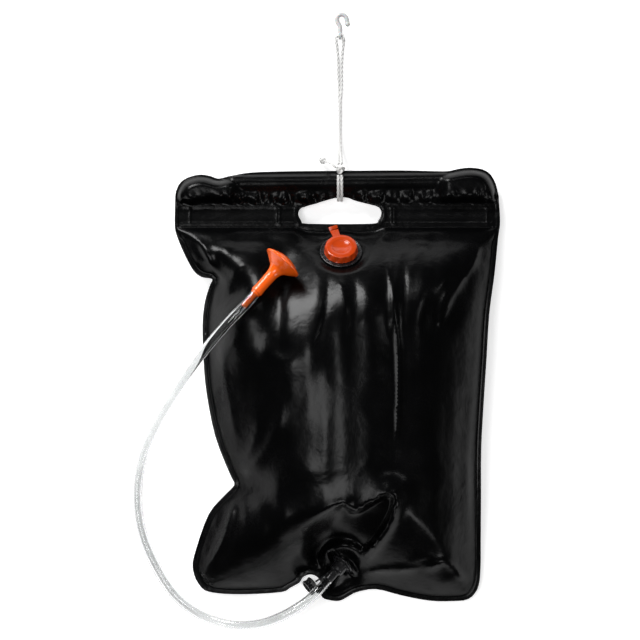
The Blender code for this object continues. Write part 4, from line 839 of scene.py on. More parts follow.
def line_place(x, y, points):
    """How far places lie from a line of straight runs, and at what share of its length."""
    points = np.array(points, float)
    reached = reached_at(points)
    nearest = np.full(len(x), np.inf)
    share = np.zeros(len(x))
    for k, (a, b) in enumerate(zip(points, points[1:])):
        run = b - a
        t = np.clip(((x - a[0]) * run[0] + (y - a[1]) * run[1]) / (run @ run), 0.0, 1.0)
        gap = np.hypot(x - a[0] - t * run[0], y - a[1] - t * run[1])
        closer = gap < nearest
        nearest = np.where(closer, gap, nearest)
        share = np.where(closer, (reached[k] + t * (reached[k + 1] - reached[k])) / reached[-1], share)
    return nearest, share


def gap_to(x, y, points):
    """How far places lie from a line."""
    return line_place(x, y, points)[0]


def tree_of(places):
    """A search tree of places on the plan."""
    tree = KDTree(len(places))
    for k, place in enumerate(places):
        tree.insert((*place, 0.0), k)
    tree.balance()
    return tree


def wrinkle(x, y, sizes, seed):
    """Smooth noise between about -1 and 1, with its own size each way."""
    return np.array([noise.noise((a / sizes[0], b / sizes[1], seed)) for a, b in zip(x, y)]) * NOISE_GAIN


size = np.array([BAG_WIDTH, BAG_HEIGHT])
edge = smooth_line(np.array(EDGE_SHARES), EDGE_CURVE_STEPS, closed=True)
edge = (edge - (edge.max(axis=0) + edge.min(axis=0)) / 2) / (edge.max(axis=0) - edge.min(axis=0)) * size
TOP = BAG_HEIGHT / 2
TUBE_Y = TOP - TUBE_EDGE
TUBE_X = 0.004 * BAG_WIDTH
SLEEVE_Y = TOP - SLEEVE_DEPTH
BAND_Y = SLEEVE_Y - BAND_DEPTH
SLEEVE_RADIUS = TUBE_RADIUS + TUBE_PLAY + FILM
HOLE_X = 0.0075 * BAG_WIDTH
hole = smooth_line(np.array(HOLE_SHARES), EDGE_CURVE_STEPS, closed=True)
hole = hole * (HOLE_WIDTH, HOLE_HEIGHT) + (HOLE_X, BAND_Y + HOLE_RAISE)
folds = [(np.array(points) * size, amount, width * FRONT_REACH) for points, amount, width in FOLD_SHARES]
creases = [(smooth_line([from_photo(*p) for p in points], CREASE_STEPS), rise, width)
           for points, rise, width in CREASES]
pit = smooth_line([from_photo(*p) for p in PIT_RIM], PIT_STEPS, closed=True)


def band_foot(x):
    """The lower weld line of the band, which dips below the handle hole."""
    return BAND_Y - BAND_DIP * (1 - ramp(np.abs(x - HOLE_X), HOLE_WIDTH / 4, HOLE_WIDTH * 0.6))


def stretches(points):
    """Short stretches of a line: the x and y of each middle, and each length."""
    points = along(points, EDGE_STEP)
    return np.column_stack(((points[1:] + points[:-1]) / 2, np.linalg.norm(points[1:] - points[:-1], axis=1)))


def weld_distance(x, y, welds):
    """How far points lie from the weld all round them, smooth where the nearest side changes."""
    total = np.zeros(len(x))
    for first in range(0, len(x), BATCH):
        part = slice(first, first + BATCH)
        gaps = (x[part, None] - welds[:, 0]) ** 2 + (y[part, None] - welds[:, 1]) ** 2
        total[part] = (welds[:, 2] / np.maximum(gaps, LEAST ** 2) ** 2).sum(axis=1)
    return (math.pi / 2 / total) ** (1 / 3)


across = np.linspace(-BAG_WIDTH / 2, BAG_WIDTH / 2, 64)
around = stretches(looped(edge))
chamber_welds = np.vstack((around[around[:, 1] < BAND_Y], stretches(plan_line(across, band_foot(across)))))
sleeve_welds = np.vstack((around[around[:, 1] > SLEEVE_Y], stretches(plan_line(across, SLEEVE_Y))))


def lift(y):
    """Height of the welds over the ground."""
    way = (y + BAG_HEIGHT / 2) / (BAND_Y + BAG_HEIGHT / 2)
    table = smooth_line(np.column_stack((LIFT_PLACE_SHARES, LIFT_SHARES)), EDGE_CURVE_STEPS)
    low = np.interp(way, table[:, 0], table[:, 1]) * WELD_LIFT
    top = BAND_LIFT + (TUBE_HEIGHT - BAND_LIFT) * ramp(y, BAND_Y, SLEEVE_Y)
    return np.where(y < BAND_Y, low, top)


def tube_off(x, y):
    """How far places lie above the tube's line in the plan."""
    return y - (TUBE_Y + (x - TUBE_X) * math.tan(TUBE_TURN))


def sleeve_rise(x, y):
    """How far the sleeve's two sheets stand off their middle: round the tube, and as pillows beside it."""
    off = tube_off(x, y)
    bulge = np.sqrt(np.maximum(SLEEVE_RADIUS ** 2 - off ** 2, LEAST ** 2))
    for share, beyond in ((SLEEVE_SLACK_SHARE, np.less), (SLEEVE_STEEP_SHARE, np.greater)):
        leave = share * SLEEVE_RADIUS
        height = math.sqrt(SLEEVE_RADIUS ** 2 - leave ** 2)
        bulge = np.where(beyond(off, leave), height - (off - leave) * leave / height, bulge)
    end = np.abs(x - TUBE_X) - TUBE_LENGTH / 2
    bulge = np.maximum(bulge - FILM, 0.0) * (1 - ramp(end, TUBE_END_PLAY, TUBE_END_PLAY + SLEEVE_REACH))
    free = PILLOW_LEAST + (1 - PILLOW_LEAST) * ramp(end, -SLEEVE_REACH, SLEEVE_REACH)
    pillow = TUBE_HEIGHT * free * swell(weld_distance(x, y, sleeve_welds), SLEEVE_WELD, SLEEVE_REACH)
    pillow = pillow * ramp(gap_to(x, y, looped(hole)), 0.0, SLEEVE_REACH)
    return np.where(y > SLEEVE_Y, np.maximum(bulge, pillow), 0.0)


edge_tree = tree_of(along(looped(edge), EDGE_STEP / 2))


def edge_place(x, y):
    """How far places lie from the bag's cut edge, and where along it."""
    found = [edge_tree.find((a, b, 0.0)) for a, b in zip(x, y)]
    return np.array([f[2] for f in found]), np.array([f[1] for f in found]) * EDGE_STEP / 2


def puckers(off_edge, run, seed):
    """Small ripples that the weld leaves in the film beside it."""
    ripple = wrinkle(run, off_edge, PUCKER_SIZE, seed)
    ripple = ripple * np.exp(-(np.maximum(off_edge - WELD_WIDTH, 0.0) / PUCKER_REACH))
    return PUCKER_HEIGHT * (ripple * ramp(off_edge, WELD_WIDTH, 2 * WELD_WIDTH))


def head_plan(run):
    """The shower head's middle line on the plan, from its mouth back."""
    return [(place.x, place.y) for place in (head_frame @ Vector((0, 0, -run)), HEAD_POINT)]


def calm(x, y):
    """0 where a fitting lies on the film, 1 in the open."""
    share = np.ones(len(x))
    for point, radius in ((FILLER_POINT, FLANGE_RADIUS), (OUTLET_POINT, OUTLET_FLANGE_RADIUS + OUTLET_CALM)):
        share *= ramp(np.hypot(x - point.x, y - point.y), radius, radius + FLANGE_CALM)
    share *= ramp(gap_to(x, y, head_plan(HEAD_RUN)), *HEAD_CALM)
    return share * ramp(gap_to(x, y, hose_line[::6, :2]), *HOSE_CALM)


def chamber_detail(x, y):
    """Creases, hollows, gathers, crumples and the pit in the filled part of the front."""
    detail = np.zeros(len(x))
    for points, crest, width in creases:
        off, share = line_place(x, y, points)
        fade = ramp(share, 0.0, CREASE_FADE) * (1 - ramp(share, 1 - CREASE_FADE, 1.0))
        off = np.hypot(off, CREST_ROUND * width) - CREST_ROUND * width
        fade = fade * ramp(CREASE_REACH * width - off, 0, width)
        detail += crest * fade * np.exp(-off / width * (1 + off / width / 3))
    for across, down, height, width, length in DENTS:
        middle = from_photo(across, down)
        detail += height * stripe(x - middle[0], width) * stripe(y - middle[1], length)
    upper = GATHER_LEAST + (1 - GATHER_LEAST) * ramp(y, *GATHER_SPAN)
    detail += GATHER_HEIGHT * upper * wrinkle(x, y, GATHER_SIZE, seed=3.1)
    detail += CRUMPLE_HEIGHT * (1 - 2 * np.abs(wrinkle(x, y, CRUMPLE_SIZE, seed=7.7)))
    wall = ramp(gap_to(x, y, looped(pit)), -PIT_WALL / 3, PIT_WALL)
    slope = ramp(gap_to(x, y, [from_photo(*p) for p in PIT_SOFT_SIDE]), 0.0, PIT_SLOPE)
    return detail - PIT_DEPTH * inside(np.column_stack((x, y)), pit) * wall * slope


def weld_detail(x, y, off_edge):
    """The sleeve's gathers, the beads at the cut edges, the seams, and the marks across the band."""
    drop = tube_off(x, y) + SLACK_DROP
    detail = SLACK_HEIGHT * wrinkle(x, y, SLACK_SIZE, seed=5.5) * stripe(drop, SLACK_REACH)
    detail = detail * (y > SLEEVE_Y) * ramp(np.abs(x - LINE_X), *SLACK_CLEAR)
    for place in BEAD_PLACES:
        detail += BEAD_HEIGHT * stripe(off_edge - place, BEAD_WIDTH)
    detail += BEAD_HEIGHT * stripe(gap_to(x, y, looped(hole)) - HOLE_BEAD, BEAD_WIDTH)
    for seam in (SLEEVE_Y, SLEEVE_Y + SLEEVE_SEAM, band_foot(x), band_foot(x) + BAND_SEAM):
        detail += SEAM_HEIGHT * stripe(y - seam, SEAM_WIDTH)
    on_band = ramp(y - BAND_Y, *MARK_START) * (1 - ramp(y, SLEEVE_Y - MARK_END, SLEEVE_Y))
    for mark in MARK_PLACES:
        detail += MARK_HEIGHT * on_band * stripe(x - from_photo(mark, 0.0)[0], MARK_WIDTH)
    return detail


def front_height(x, y):
    """The front sheet's outer face."""
    foot = band_foot(x)
    gap = weld_distance(x, y, chamber_welds)
    steep = (1 - ramp(foot - y, *STEEP_DROP)) * ramp(np.abs(x - HOLE_X), *STEEP_SIDE)
    start = WELD_WIDTH * (1 - STEEP_SHARE * steep)
    rise = FRONT_RISE * np.where(y < foot, swell(gap, start, FRONT_REACH), 0.0)
    for points, amount, width in folds:
        rise = rise * (1 + amount * stripe(gap_to(x, y, points), width))
    off_edge, run = edge_place(x, y)
    open_film = calm(x, y)
    body = ramp(gap, WELD_WIDTH, 4 * WELD_WIDTH) * (y < foot)
    detail = chamber_detail(x, y) * body * open_film
    detail += puckers(off_edge, run, seed=1.9) * open_film * (y < foot - PUCKER_DROP)
    detail += weld_detail(x, y, off_edge)
    height = lift(y) + SHEET_GAP + FILM + rise + sleeve_rise(x, y) + detail
    height -= HEAD_DENT * (1 - ramp(gap_to(x, y, head_plan(HEAD_DENT_RUN)), *HEAD_DENT_SPAN))
    for point, normal, radius in ((FILLER_POINT, FILLER_NORMAL, FLANGE_RADIUS + SEAT_GAP),
                                  (OUTLET_POINT, OUTLET_NORMAL, OUTLET_FLANGE_RADIUS + SEAT_GAP)):
        plane = point.z - ((x - point.x) * normal.x + (y - point.y) * normal.y) / normal.z
        off = np.sqrt((x - point.x) ** 2 + (y - point.y) ** 2 + (plane - point.z) ** 2)
        share = 1 - ramp(off, radius, radius + SLEEVE_REACH)
        height = height * (1 - share) + plane * share
    return height


def back_height(x, y):
    """The back sheet's outer face, flat on the ground where the bag's weight presses it down."""
    level = lift(y) - FILM
    gap = weld_distance(x, y, chamber_welds)
    chamber = level * (1 - swell(gap, WELD_WIDTH, BACK_REACH)) + puckers(*edge_place(x, y), seed=8.3)
    flat = np.where(y < band_foot(x), chamber, level)
    return np.maximum(np.where(y > SLEEVE_Y, level - sleeve_rise(x, y), flat), 0.0)


def ring_points(point, normal, radius):
    """Points of a circle on a sloping plane, seen from above."""
    placing = frame_at(point, normal, (normal.y, -normal.x, 0.0) if normal.x else (1.0, 0.0, 0.0))
    turns = np.linspace(0.0, 2 * math.pi, round(2 * math.pi * radius / RING_STEP), endpoint=False)
    places = [placing @ Vector((radius * math.cos(t), radius * math.sin(t), 0.0)) for t in turns]
    return np.array([(p.x, p.y) for p in places])


def set_in(loop, depth):
    """Points set in from a closed loop that runs clockwise."""
    line = along(looped(loop), EDGE_STEP)[:-1]
    ahead = np.roll(line, -1, axis=0) - np.roll(line, 1, axis=0)
    ahead /= np.linalg.norm(ahead, axis=1)[:, None]
    return line + np.column_stack((ahead[:, 1], -ahead[:, 0])) * depth


def thinned(points, loops):
    """The points on a sheet that keep their distance from its loops and from the ones before them."""
    cells = {}
    kept = []
    for place in np.concatenate((*loops, points)):
        cell = (int(place[0] // POINT_GAP), int(place[1] // POINT_GAP))
        near = (cells.get((cell[0] + a, cell[1] + b)) for a in (-1, 0, 1) for b in (-1, 0, 1))
        if all(other is None or math.dist(other, place) >= POINT_GAP for other in near):
            cells[cell] = place
            kept.append(place)
    kept = np.array(kept)[sum(len(loop) for loop in loops):]
    return kept[on_sheet(kept, loops)]


def film_sheet(name, loops, lines, step, height, thickness, finish, face_up=True):
    """One sheet of film over the plan, as a closed body: loops, points on its lines, and a grid between."""
    kept = np.concatenate((*loops, lines))
    tree = tree_of(kept)
    rows = []
    for k, y in enumerate(np.arange(-BAG_HEIGHT / 2, TOP, step * math.sqrt(3) / 2)):
        rows.append(plan_line(np.arange(-BAG_WIDTH / 2 + (k % 2) * step / 2, BAG_WIDTH / 2, step), y))
    grid = np.concatenate(rows)
    grid = grid[inside(grid, loops[0])]
    clear = np.array([tree.find((*place, 0.0))[2] > step * GRID_GAP_SHARE for place in grid])
    runs = []
    for loop in loops:
        first = len(runs)
        runs += [(first + k, first + (k + 1) % len(loop)) for k in range(len(loop))]
    places = [Vector(p) for p in np.concatenate((kept, grid[clear]))]
    flat, _, triangles, *_ = delaunay_2d_cdt(places, runs, [], 0, LEAST)
    flat = np.array([tuple(p) for p in flat])
    triangles = np.array(triangles)
    triangles = triangles[on_sheet(flat[triangles].mean(axis=1), loops)]
    a, b, c = (flat[triangles[:, k]] for k in range(3))
    clockwise = (b - a)[:, 0] * (c - a)[:, 1] - (b - a)[:, 1] * (c - a)[:, 0] < 0
    triangles[clockwise == face_up] = triangles[clockwise == face_up][:, ::-1]
    used, triangles = np.unique(triangles, return_inverse=True)
    flat = flat[used]
    mesh = bpy.data.meshes.new(name)
    places = np.column_stack((flat, height(flat[:, 0], flat[:, 1])))
    mesh.from_pydata(places.tolist(), [], triangles.reshape(-1, 3).tolist())
    mesh.materials.append(finish.material)
    piece = change(add_object(name, mesh), "SOLIDIFY", thickness=thickness, offset=-1.0)
    piece.data.shade_smooth()
    return piece


film = Finish("black_pvc_film", specular_ior_level=0.125)
patchy = film.noise(0.05, 4.0)
grain = film.noise(0.0011, 3.0, 0.7)
shine = film.math("ADD", film.ramp(patchy, 0.3, 0.7, 0.20, 0.28), film.ramp(grain, 0.3, 0.7, -0.03, 0.04))
relief = film.bump(film.noise(0.022, 3.0, 0.5, distortion=0.4), 0.0005)
relief = film.bump(film.noise(0.008, 2.0, 0.5), 0.0002, relief)
relief = film.bump(grain, 0.00005, relief)
black = film.mix(film.ramp(patchy, 0.3, 0.75), (0.0007, 0.0008, 0.0009), (0.0014, 0.0014, 0.0016))
film.wear(black, shine, relief)

back_loops = [along(looped(loop), EDGE_STEP)[:-1] for loop in (edge, hole)]
front_loops = back_loops + [ring_points(FILLER_POINT, FILLER_NORMAL, FILLER_HOLE),
                            ring_points(OUTLET_POINT, OUTLET_NORMAL, OUTLET_HOLE)]
borders = [set_in(edge, depth) for depth in EDGE_ROWS] + [set_in(hole, -depth) for depth in HOLE_ROWS]
across = np.arange(-BAG_WIDTH / 2 + SEAM_END, BAG_WIDTH / 2 - SEAM_END, EDGE_STEP)
seams = [plan_line(across, SLEEVE_Y + shift) for shift in SLEEVE_SEAM_ROWS]
seams += [plan_line(across, band_foot(across) + shift) for shift in BAND_SEAM_ROWS]
up_band = np.linspace(BAND_Y + MARK_END, SLEEVE_Y - MARK_END, MARK_POINTS)
marks = [plan_line(from_photo(place, 0)[0] + shift, up_band) for place in MARK_PLACES for shift in MARK_ROWS]
followed = [along(points, EDGE_STEP) for points, _, _ in creases]
front_lines = thinned(np.concatenate(borders + seams + marks + followed), front_loops)
front_film = FILM + SHEET_GAP - SHEET_CLEAR
front = film_sheet("front_film", front_loops, front_lines, FILM_STEP, front_height, front_film, film)
assign(front, "front_panel", "bag")
back_lines = thinned(np.concatenate(borders), back_loops)
back = film_sheet("back_film", back_loops, back_lines, BACK_STEP, back_height, FILM, film, face_up=False)
assign(back, "back_panel", "bag")


# Handle tube
# A stiff extruded tube of grey polypropylene with square-cut ends. It lies loose in the sleeve, and
# the line and the hand both pull on it.
grey_plastic = plastic("grey_polypropylene", (0.33, 0.33, 0.34), (0.37, 0.37, 0.38), 0.42, 0.55,
                       (0.01, 3.0), 0.003, (0.0015, 3.0), 0.0001)
half = TUBE_LENGTH / 2
inner = TUBE_RADIUS - TUBE_WALL
tube_way = (math.cos(TUBE_TURN), math.sin(TUBE_TURN), 0.0)
tube = turned("handle_tube_wall", [(inner, -half), (TUBE_RADIUS, -half), (TUBE_RADIUS, half), (inner, half)],
              frame_at((TUBE_X, TUBE_Y, TUBE_HEIGHT), tube_way, (0.0, 1.0, 0.0)), grey_plastic,
              rounding=0.0004)
assign(tube, "handle_tube", "bag")


# Filler
# A black flange with its neck, moulded in flexible PVC and welded into the front film, and an orange
# push-in cap with finger grips. The cap's strap is moulded with it and is held under the band's weld.
FLANGE_THICKNESS = 0.002
FLANGE_RIM_OUT = 0.0004
FLANGE_RIM_IN = 0.0008
FLANGE_RIM_FOOT = 0.0014
FLANGE_STEP = 0.0006
NECK_BORE = 0.0145
NECK_RADIUS = 0.0172
NECK_HEIGHT = 0.005
NECK_DEPTH = 0.006
NECK_BEAD = 0.0014
NECK_BEAD_FOOT = 0.0026
NECK_BEAD_DROP = 0.0002
CAP_RADIUS = 0.0195
CAP_FLARE = 0.0012
CAP_FLARE_HEIGHT = 0.0008
CAP_DRAFT = 0.0001
CAP_HEIGHT = 0.0088
CAP_WALL = 0.0025
CAP_DISH = 0.0012
CAP_DISH_RADIUS = 0.011
CAP_DISH_EDGE = 0.0006
CAP_ROUND = 0.0015
PLUG_CLEARANCE = 0.0005
PLUG_DEPTH = 0.0075
CAP_GRIPS = 12
GRIP_DEPTH = 0.0012
GRIP_ROWS = (2, 3, 4)
STRAP_WIDTH = 0.011
STRAP_WAIST_SHARE = 0.14
STRAP_THICKNESS = 0.0018
STRAP_LEAN = math.radians(13)
STRAP_ROOT_LENGTH = 0.0045
STRAP_END = Vector((-0.00429, 0.18888, 0.03031))


def strap(name, points, widths, finish, rounding):
    """A flat strap along points, with its own width at each."""
    shape = bmesh.new()
    rings = []
    for i, (point, width) in enumerate(zip(points, widths)):
        ahead = Vector(points[min(i + 1, len(points) - 1)]) - Vector(points[max(i - 1, 0)])
        side = ahead.cross(Vector((0, 0, 1))).normalized() * (width / 2)
        top = side.cross(ahead).normalized() * (STRAP_THICKNESS / 2)
        middle = Vector(point)
        corners = (middle + side + top, middle - side + top, middle - side - top, middle + side - top)
        rings.append([shape.verts.new(corner) for corner in corners])
    for under, over in zip(rings, rings[1:]):
        for k in range(4):
            shape.faces.new((under[k], under[(k + 1) % 4], over[(k + 1) % 4], over[k]))
    shape.faces.new(rings[0][::-1])
    shape.faces.new(rings[-1])
    bmesh.ops.recalc_face_normals(shape, faces=shape.faces)
    return shade(soften(from_bmesh(name, shape, finish), rounding, degrees=50))


black_plastic = plastic("black_plastic", (0.006, 0.006, 0.007), (0.011, 0.011, 0.012), 0.20, 0.32)
orange_plastic = plastic("orange_plastic", (0.84, 0.107, 0.006), (0.90, 0.122, 0.008), 0.13, 0.20,
                         subsurface_weight=0.08, subsurface_scale=0.003)
# The cap's orange is redder than the head's and painted darker, as shade that offsets the strong lamp its
# tilted top faces.
cap_orange_with_painted_shade = plastic("cap_orange_with_painted_shade", (0.42, 0.040, 0.004), (0.46, 0.046, 0.006), 0.13, 0.20,
                             specular_ior_level=0.28)

top = SEAT_GAP + FLANGE_THICKNESS
rim = FLANGE_RADIUS - FLANGE_THICKNESS / 2
flange = turned("filler_neck", [
    (NECK_BORE, -NECK_DEPTH), (NECK_RADIUS, -NECK_DEPTH), (NECK_RADIUS, SEAT_GAP), (rim, SEAT_GAP),
    (FLANGE_RADIUS, SEAT_GAP + FLANGE_THICKNESS * 0.35), (FLANGE_RADIUS, SEAT_GAP + FLANGE_THICKNESS * 0.75),
    (rim + FLANGE_RIM_OUT, top), (rim - FLANGE_RIM_IN, top), (rim - FLANGE_RIM_FOOT, top - FLANGE_STEP),
    (NECK_RADIUS + NECK_BEAD_FOOT, top - FLANGE_STEP), (NECK_RADIUS + NECK_BEAD, top - NECK_BEAD_DROP),
    (NECK_RADIUS, top),
    (NECK_RADIUS, top + NECK_HEIGHT), (NECK_BORE, top + NECK_HEIGHT)],
    filler_frame, black_plastic, sides=144, rounding=0.0003)
assign(flange, "filler_flange", "bag")

foot = top + SEAT_GAP
crown = foot + CAP_HEIGHT
dish = crown - CAP_DISH
skirt = NECK_RADIUS + PLUG_CLEARANCE
plug_radius = NECK_BORE - PLUG_CLEARANCE
shelf = top + NECK_HEIGHT + SEAT_GAP
plug_foot = shelf - PLUG_DEPTH
cap = turned("filler_cap_body", [
    (skirt, foot), (CAP_RADIUS + CAP_FLARE, foot), (CAP_RADIUS + CAP_FLARE, foot + CAP_FLARE_HEIGHT),
    (CAP_RADIUS + CAP_FLARE * 0.6, foot + CAP_HEIGHT * 0.4),
    (CAP_RADIUS + CAP_DRAFT, crown - CAP_ROUND * 1.1),
    (CAP_RADIUS - CAP_ROUND * 0.3, crown - CAP_ROUND * 0.4), (CAP_RADIUS - CAP_ROUND, crown),
    (CAP_DISH_RADIUS + CAP_DISH_EDGE, crown), (CAP_DISH_RADIUS, crown - CAP_DISH * 0.3),
    (CAP_DISH_RADIUS - CAP_DISH, dish), (0.0, dish), (0.0, dish - CAP_WALL),
    (plug_radius - CAP_WALL, dish - CAP_WALL), (plug_radius - CAP_WALL, plug_foot),
    (plug_radius - CAP_DISH, plug_foot), (plug_radius, plug_foot + CAP_DISH), (plug_radius, shelf),
    (skirt, shelf)],
    Matrix(), cap_orange_with_painted_shade, CAP_GRIPS * 16, 0.00035, CAP_GRIPS, GRIP_DEPTH, GRIP_ROWS)
way = Vector((-math.sin(STRAP_LEAN), math.cos(STRAP_LEAN), 0.0))
end_local = filler_frame.inverted() @ STRAP_END
rise = Vector((0, 0, foot + STRAP_THICKNESS))
strap_line = [way * (CAP_RADIUS - CAP_WALL / 2) + rise, way * (CAP_RADIUS + CAP_WALL) + rise]
strap_line += [(strap_line[-1] + end_local) / 2, end_local - way * STRAP_THICKNESS / 2]
strap_line = smooth_line(strap_line, 5)
waist = np.sin(math.pi * np.linspace(0, 1, len(strap_line)))
taper = STRAP_WIDTH * (1 - STRAP_WAIST_SHARE * waist)
cap = joined(cap, strap("cap_strap", strap_line, taper, cap_orange_with_painted_shade, rounding=0.0005))
cap.data.transform(filler_frame)
assign(cap, "filler_cap", "cap")

root_way = filler_frame.to_3x3() @ way
root_way = Vector((root_way.x, root_way.y, 0.0)).normalized()
root_line = [STRAP_END + root_way * (SEAT_GAP + STRAP_ROOT_LENGTH * run) for run in (0.0, 0.5, 1.0)]
root = strap("strap_root", root_line, [STRAP_WIDTH] * 3, cap_orange_with_painted_shade, rounding=0.0004)
assign(root, "cap_strap_root", "bag")


# Outlet
# A black moulded flange and boss with a barbed spigot that the hose is pushed over. A ring round the
# boss carries a soft strap with a ribbed stopper, which closes the spigot when the hose is off.
OUTLET_FLANGE_THICKNESS = 0.0018
OUTLET_FLANGE_ROUND = 0.0006
BOSS_RADIUS = 0.009
BOSS_HEIGHT = 0.0125
BOSS_DEPTH = 0.004
BOSS_STEP = 0.0004
BOSS_STEP_FOOT = 0.0030
BOSS_STEP_TOP = 0.0026
BOSS_CHAMFER = 0.0015
OUTLET_NECK_RADIUS = 0.0055
OUTLET_NECK_FLARE = 0.0012
SPIGOT_WALL = 0.0014
SPIGOT_CLEARANCE = 0.0004
BARB_HEIGHT = 0.0004
BARBS = 4
TETHER_RING_WIDTH = 0.002
TETHER_THICKNESS = 0.0016
TETHER_WIDTH = 0.0024
TETHER_SIDE = math.radians(75)
TETHER_BOW = Vector((0.0010, 0.0, 0.0030))
TETHER_END = (-0.02642, -0.24047, 0.01511)
STOPPER_RADIUS = 0.0095
STOPPER_LENGTH = 0.011
STOPPER_WALL = 0.002
STOPPER_ROUND = 0.0022
STOPPER_ROUND_IN = 0.0004
STOPPER_ROUND_UP = 0.0008
STOPPER_WAIST = 0.0010
STOPPER_WAIST_SPAN = (-0.0008, 0.0012)
STOPPER_LIP = 0.0006
STOPPER_RIBS = 16
STOPPER_RIB_DEPTH = 0.0008
STOPPER_RIB_ROWS = (3, 4, 5, 6)
STOPPER_POINT = (-0.03295, -0.24539, 0.0105)
STOPPER_WAY = (-0.77142, -0.58131, 0.25882)
BARB_RADIUS = HOSE_BORE - SPIGOT_CLEARANCE


def barbs(start, radius, way_out):
    """Profile points of the barbs that hold a hose, from their foot out to the spigot's mouth."""
    pitch = SPIGOT_LENGTH / BARBS
    points = []
    for k in range(BARBS):
        low = start + way_out * k * pitch
        points += [(radius - BARB_HEIGHT, low), (radius, low + way_out * pitch / 5)]
    points.append((radius - BARB_HEIGHT, start + way_out * SPIGOT_LENGTH))
    return points


bore = BARB_RADIUS - BARB_HEIGHT - SPIGOT_WALL
low = SEAT_GAP + OUTLET_FLANGE_THICKNESS
boss_top = low + BOSS_HEIGHT
profile = [
    (bore, -BOSS_DEPTH), (BOSS_RADIUS, -BOSS_DEPTH), (BOSS_RADIUS, SEAT_GAP),
    (OUTLET_FLANGE_RADIUS, SEAT_GAP), (OUTLET_FLANGE_RADIUS, low - OUTLET_FLANGE_ROUND),
    (OUTLET_FLANGE_RADIUS - OUTLET_FLANGE_ROUND, low), (BOSS_RADIUS, low),
    (BOSS_RADIUS, boss_top - BOSS_STEP_FOOT), (BOSS_RADIUS - BOSS_STEP, boss_top - BOSS_STEP_TOP),
    (BOSS_RADIUS - BOSS_STEP, boss_top - BOSS_CHAMFER), (BOSS_RADIUS - BOSS_CHAMFER, boss_top),
    (OUTLET_NECK_RADIUS + OUTLET_NECK_FLARE, boss_top),
    (OUTLET_NECK_RADIUS, boss_top + OUTLET_NECK_FLARE),
    (OUTLET_NECK_RADIUS, HOSE_FOOT)]
profile += barbs(HOSE_FOOT, BARB_RADIUS, 1) + [(bore, HOSE_FOOT + SPIGOT_LENGTH)]
outlet = turned("outlet_body", profile, outlet_frame, black_plastic, rounding=0.00025)
assign(outlet, "outlet_fitting", "bag")

low = 2 * SEAT_GAP + OUTLET_FLANGE_THICKNESS
high = low + TETHER_THICKNESS
ring_in = BOSS_RADIUS + SEAT_GAP
ring_out = ring_in + TETHER_RING_WIDTH
tether = turned("stopper_strap", [(ring_in, low), (ring_out, low), (ring_out, high), (ring_in, high)],
                outlet_frame, black_plastic, rounding=0.0004)
ring_middle = ring_in + TETHER_RING_WIDTH / 2
ring_side = outlet_frame @ Vector((ring_middle * math.cos(TETHER_SIDE), ring_middle * math.sin(TETHER_SIDE),
                                   low + TETHER_THICKNESS / 2))
middle = (ring_side + Vector(TETHER_END)) / 2 + TETHER_BOW
bow = smooth_line([ring_side, middle, TETHER_END], 8)
round_strap = pipe.make("round_strap", bow, Radius=TETHER_WIDTH / 2, Sides=HOOK_SIDES, Caps=True,
                        Material=black_plastic.material)
tether = joined(tether, round_strap)
assign(tether, "stopper_tether", "bag")

half = STOPPER_LENGTH / 2
inner = STOPPER_RADIUS - STOPPER_WALL
stopper = turned("stopper_cup", [
    (0.0, -half), (STOPPER_RADIUS - STOPPER_ROUND, -half),
    (STOPPER_RADIUS - STOPPER_ROUND_IN, -half + STOPPER_ROUND_UP), (STOPPER_RADIUS, -half + STOPPER_ROUND),
    *((STOPPER_RADIUS - STOPPER_WAIST, height) for height in STOPPER_WAIST_SPAN),
    (STOPPER_RADIUS, half - STOPPER_ROUND), (STOPPER_RADIUS, half - STOPPER_LIP),
    (STOPPER_RADIUS - STOPPER_LIP, half),
    (inner, half), (inner, -half + STOPPER_WALL), (0.0, -half + STOPPER_WALL)],
    frame_at(STOPPER_POINT, STOPPER_WAY), black_plastic, STOPPER_RIBS * 8, 0.00025, STOPPER_RIBS,
    STOPPER_RIB_DEPTH, STOPPER_RIB_ROWS)
assign(stopper, "outlet_stopper", "stopper")


# Shower head
# A trumpet-shaped bell of orange plastic with a perforated rose in its mouth. It slides on a barbed
# stem, whose O-ring shuts the flow when the bell is pushed home.
HEAD_RADIUS = 0.0246
HEAD_LENGTH = 0.050
HEAD_SIDES = 128
BELL_LENGTH = 0.022
HEAD_NECK_RADIUS = 0.007
HEAD_BORE = 0.005
HEAD_WALL = 0.0018
HEAD_WAIST = 0.0003
HEAD_WAIST_SHARE = 0.72
HEAD_COLLAR = 0.0056
HEAD_COLLAR_TOP = 0.0060
# The lip's points: in from the head's radius, and out of its mouth
LIP_ROUND = [(0.0012, 0.0006), (0.0004, 0.0), (0.0, -0.0010)]
STEM_RADIUS = 0.0043
STEM_COLLAR = 0.0058
STEM_REACH = 0.026
SEAL_RADIUS = 0.0007
SEAL_CLEARANCE = 0.0003
SEAL_PLACE = 0.020
ROSE_THICKNESS = 0.0015
ROSE_DOME = 0.0075
ROSE_HOLE = 0.0009
ROSE_HOLE_SIDES = 16
ROSE_PITCH = 0.0056
ROSE_STEP = 0.0014
ROSE_RADIUS_PER_POINT = 0.0002
ROSE_RIM = 0.001
ROSE_POINT_GAP = 0.0004
BELL_SHARES = [(0.0, 1.0), (0.10, 0.98), (0.23, 0.735), (0.39, 0.47), (0.52, 0.235), (0.64, 0.12),
               (0.82, 0.035), (1.0, 0.0)]


def rose_height(x, y):
    """The rose's domed outer face."""
    return ROSE_DOME * (1 - (x ** 2 + y ** 2) / HEAD_RADIUS ** 2) - SEAT_GAP


def circle(x, y, radius, count):
    """Points of a flat circle."""
    turns = -2 * math.pi * np.arange(count) / count
    return np.column_stack((x + radius * np.cos(turns), y + radius * np.sin(turns)))


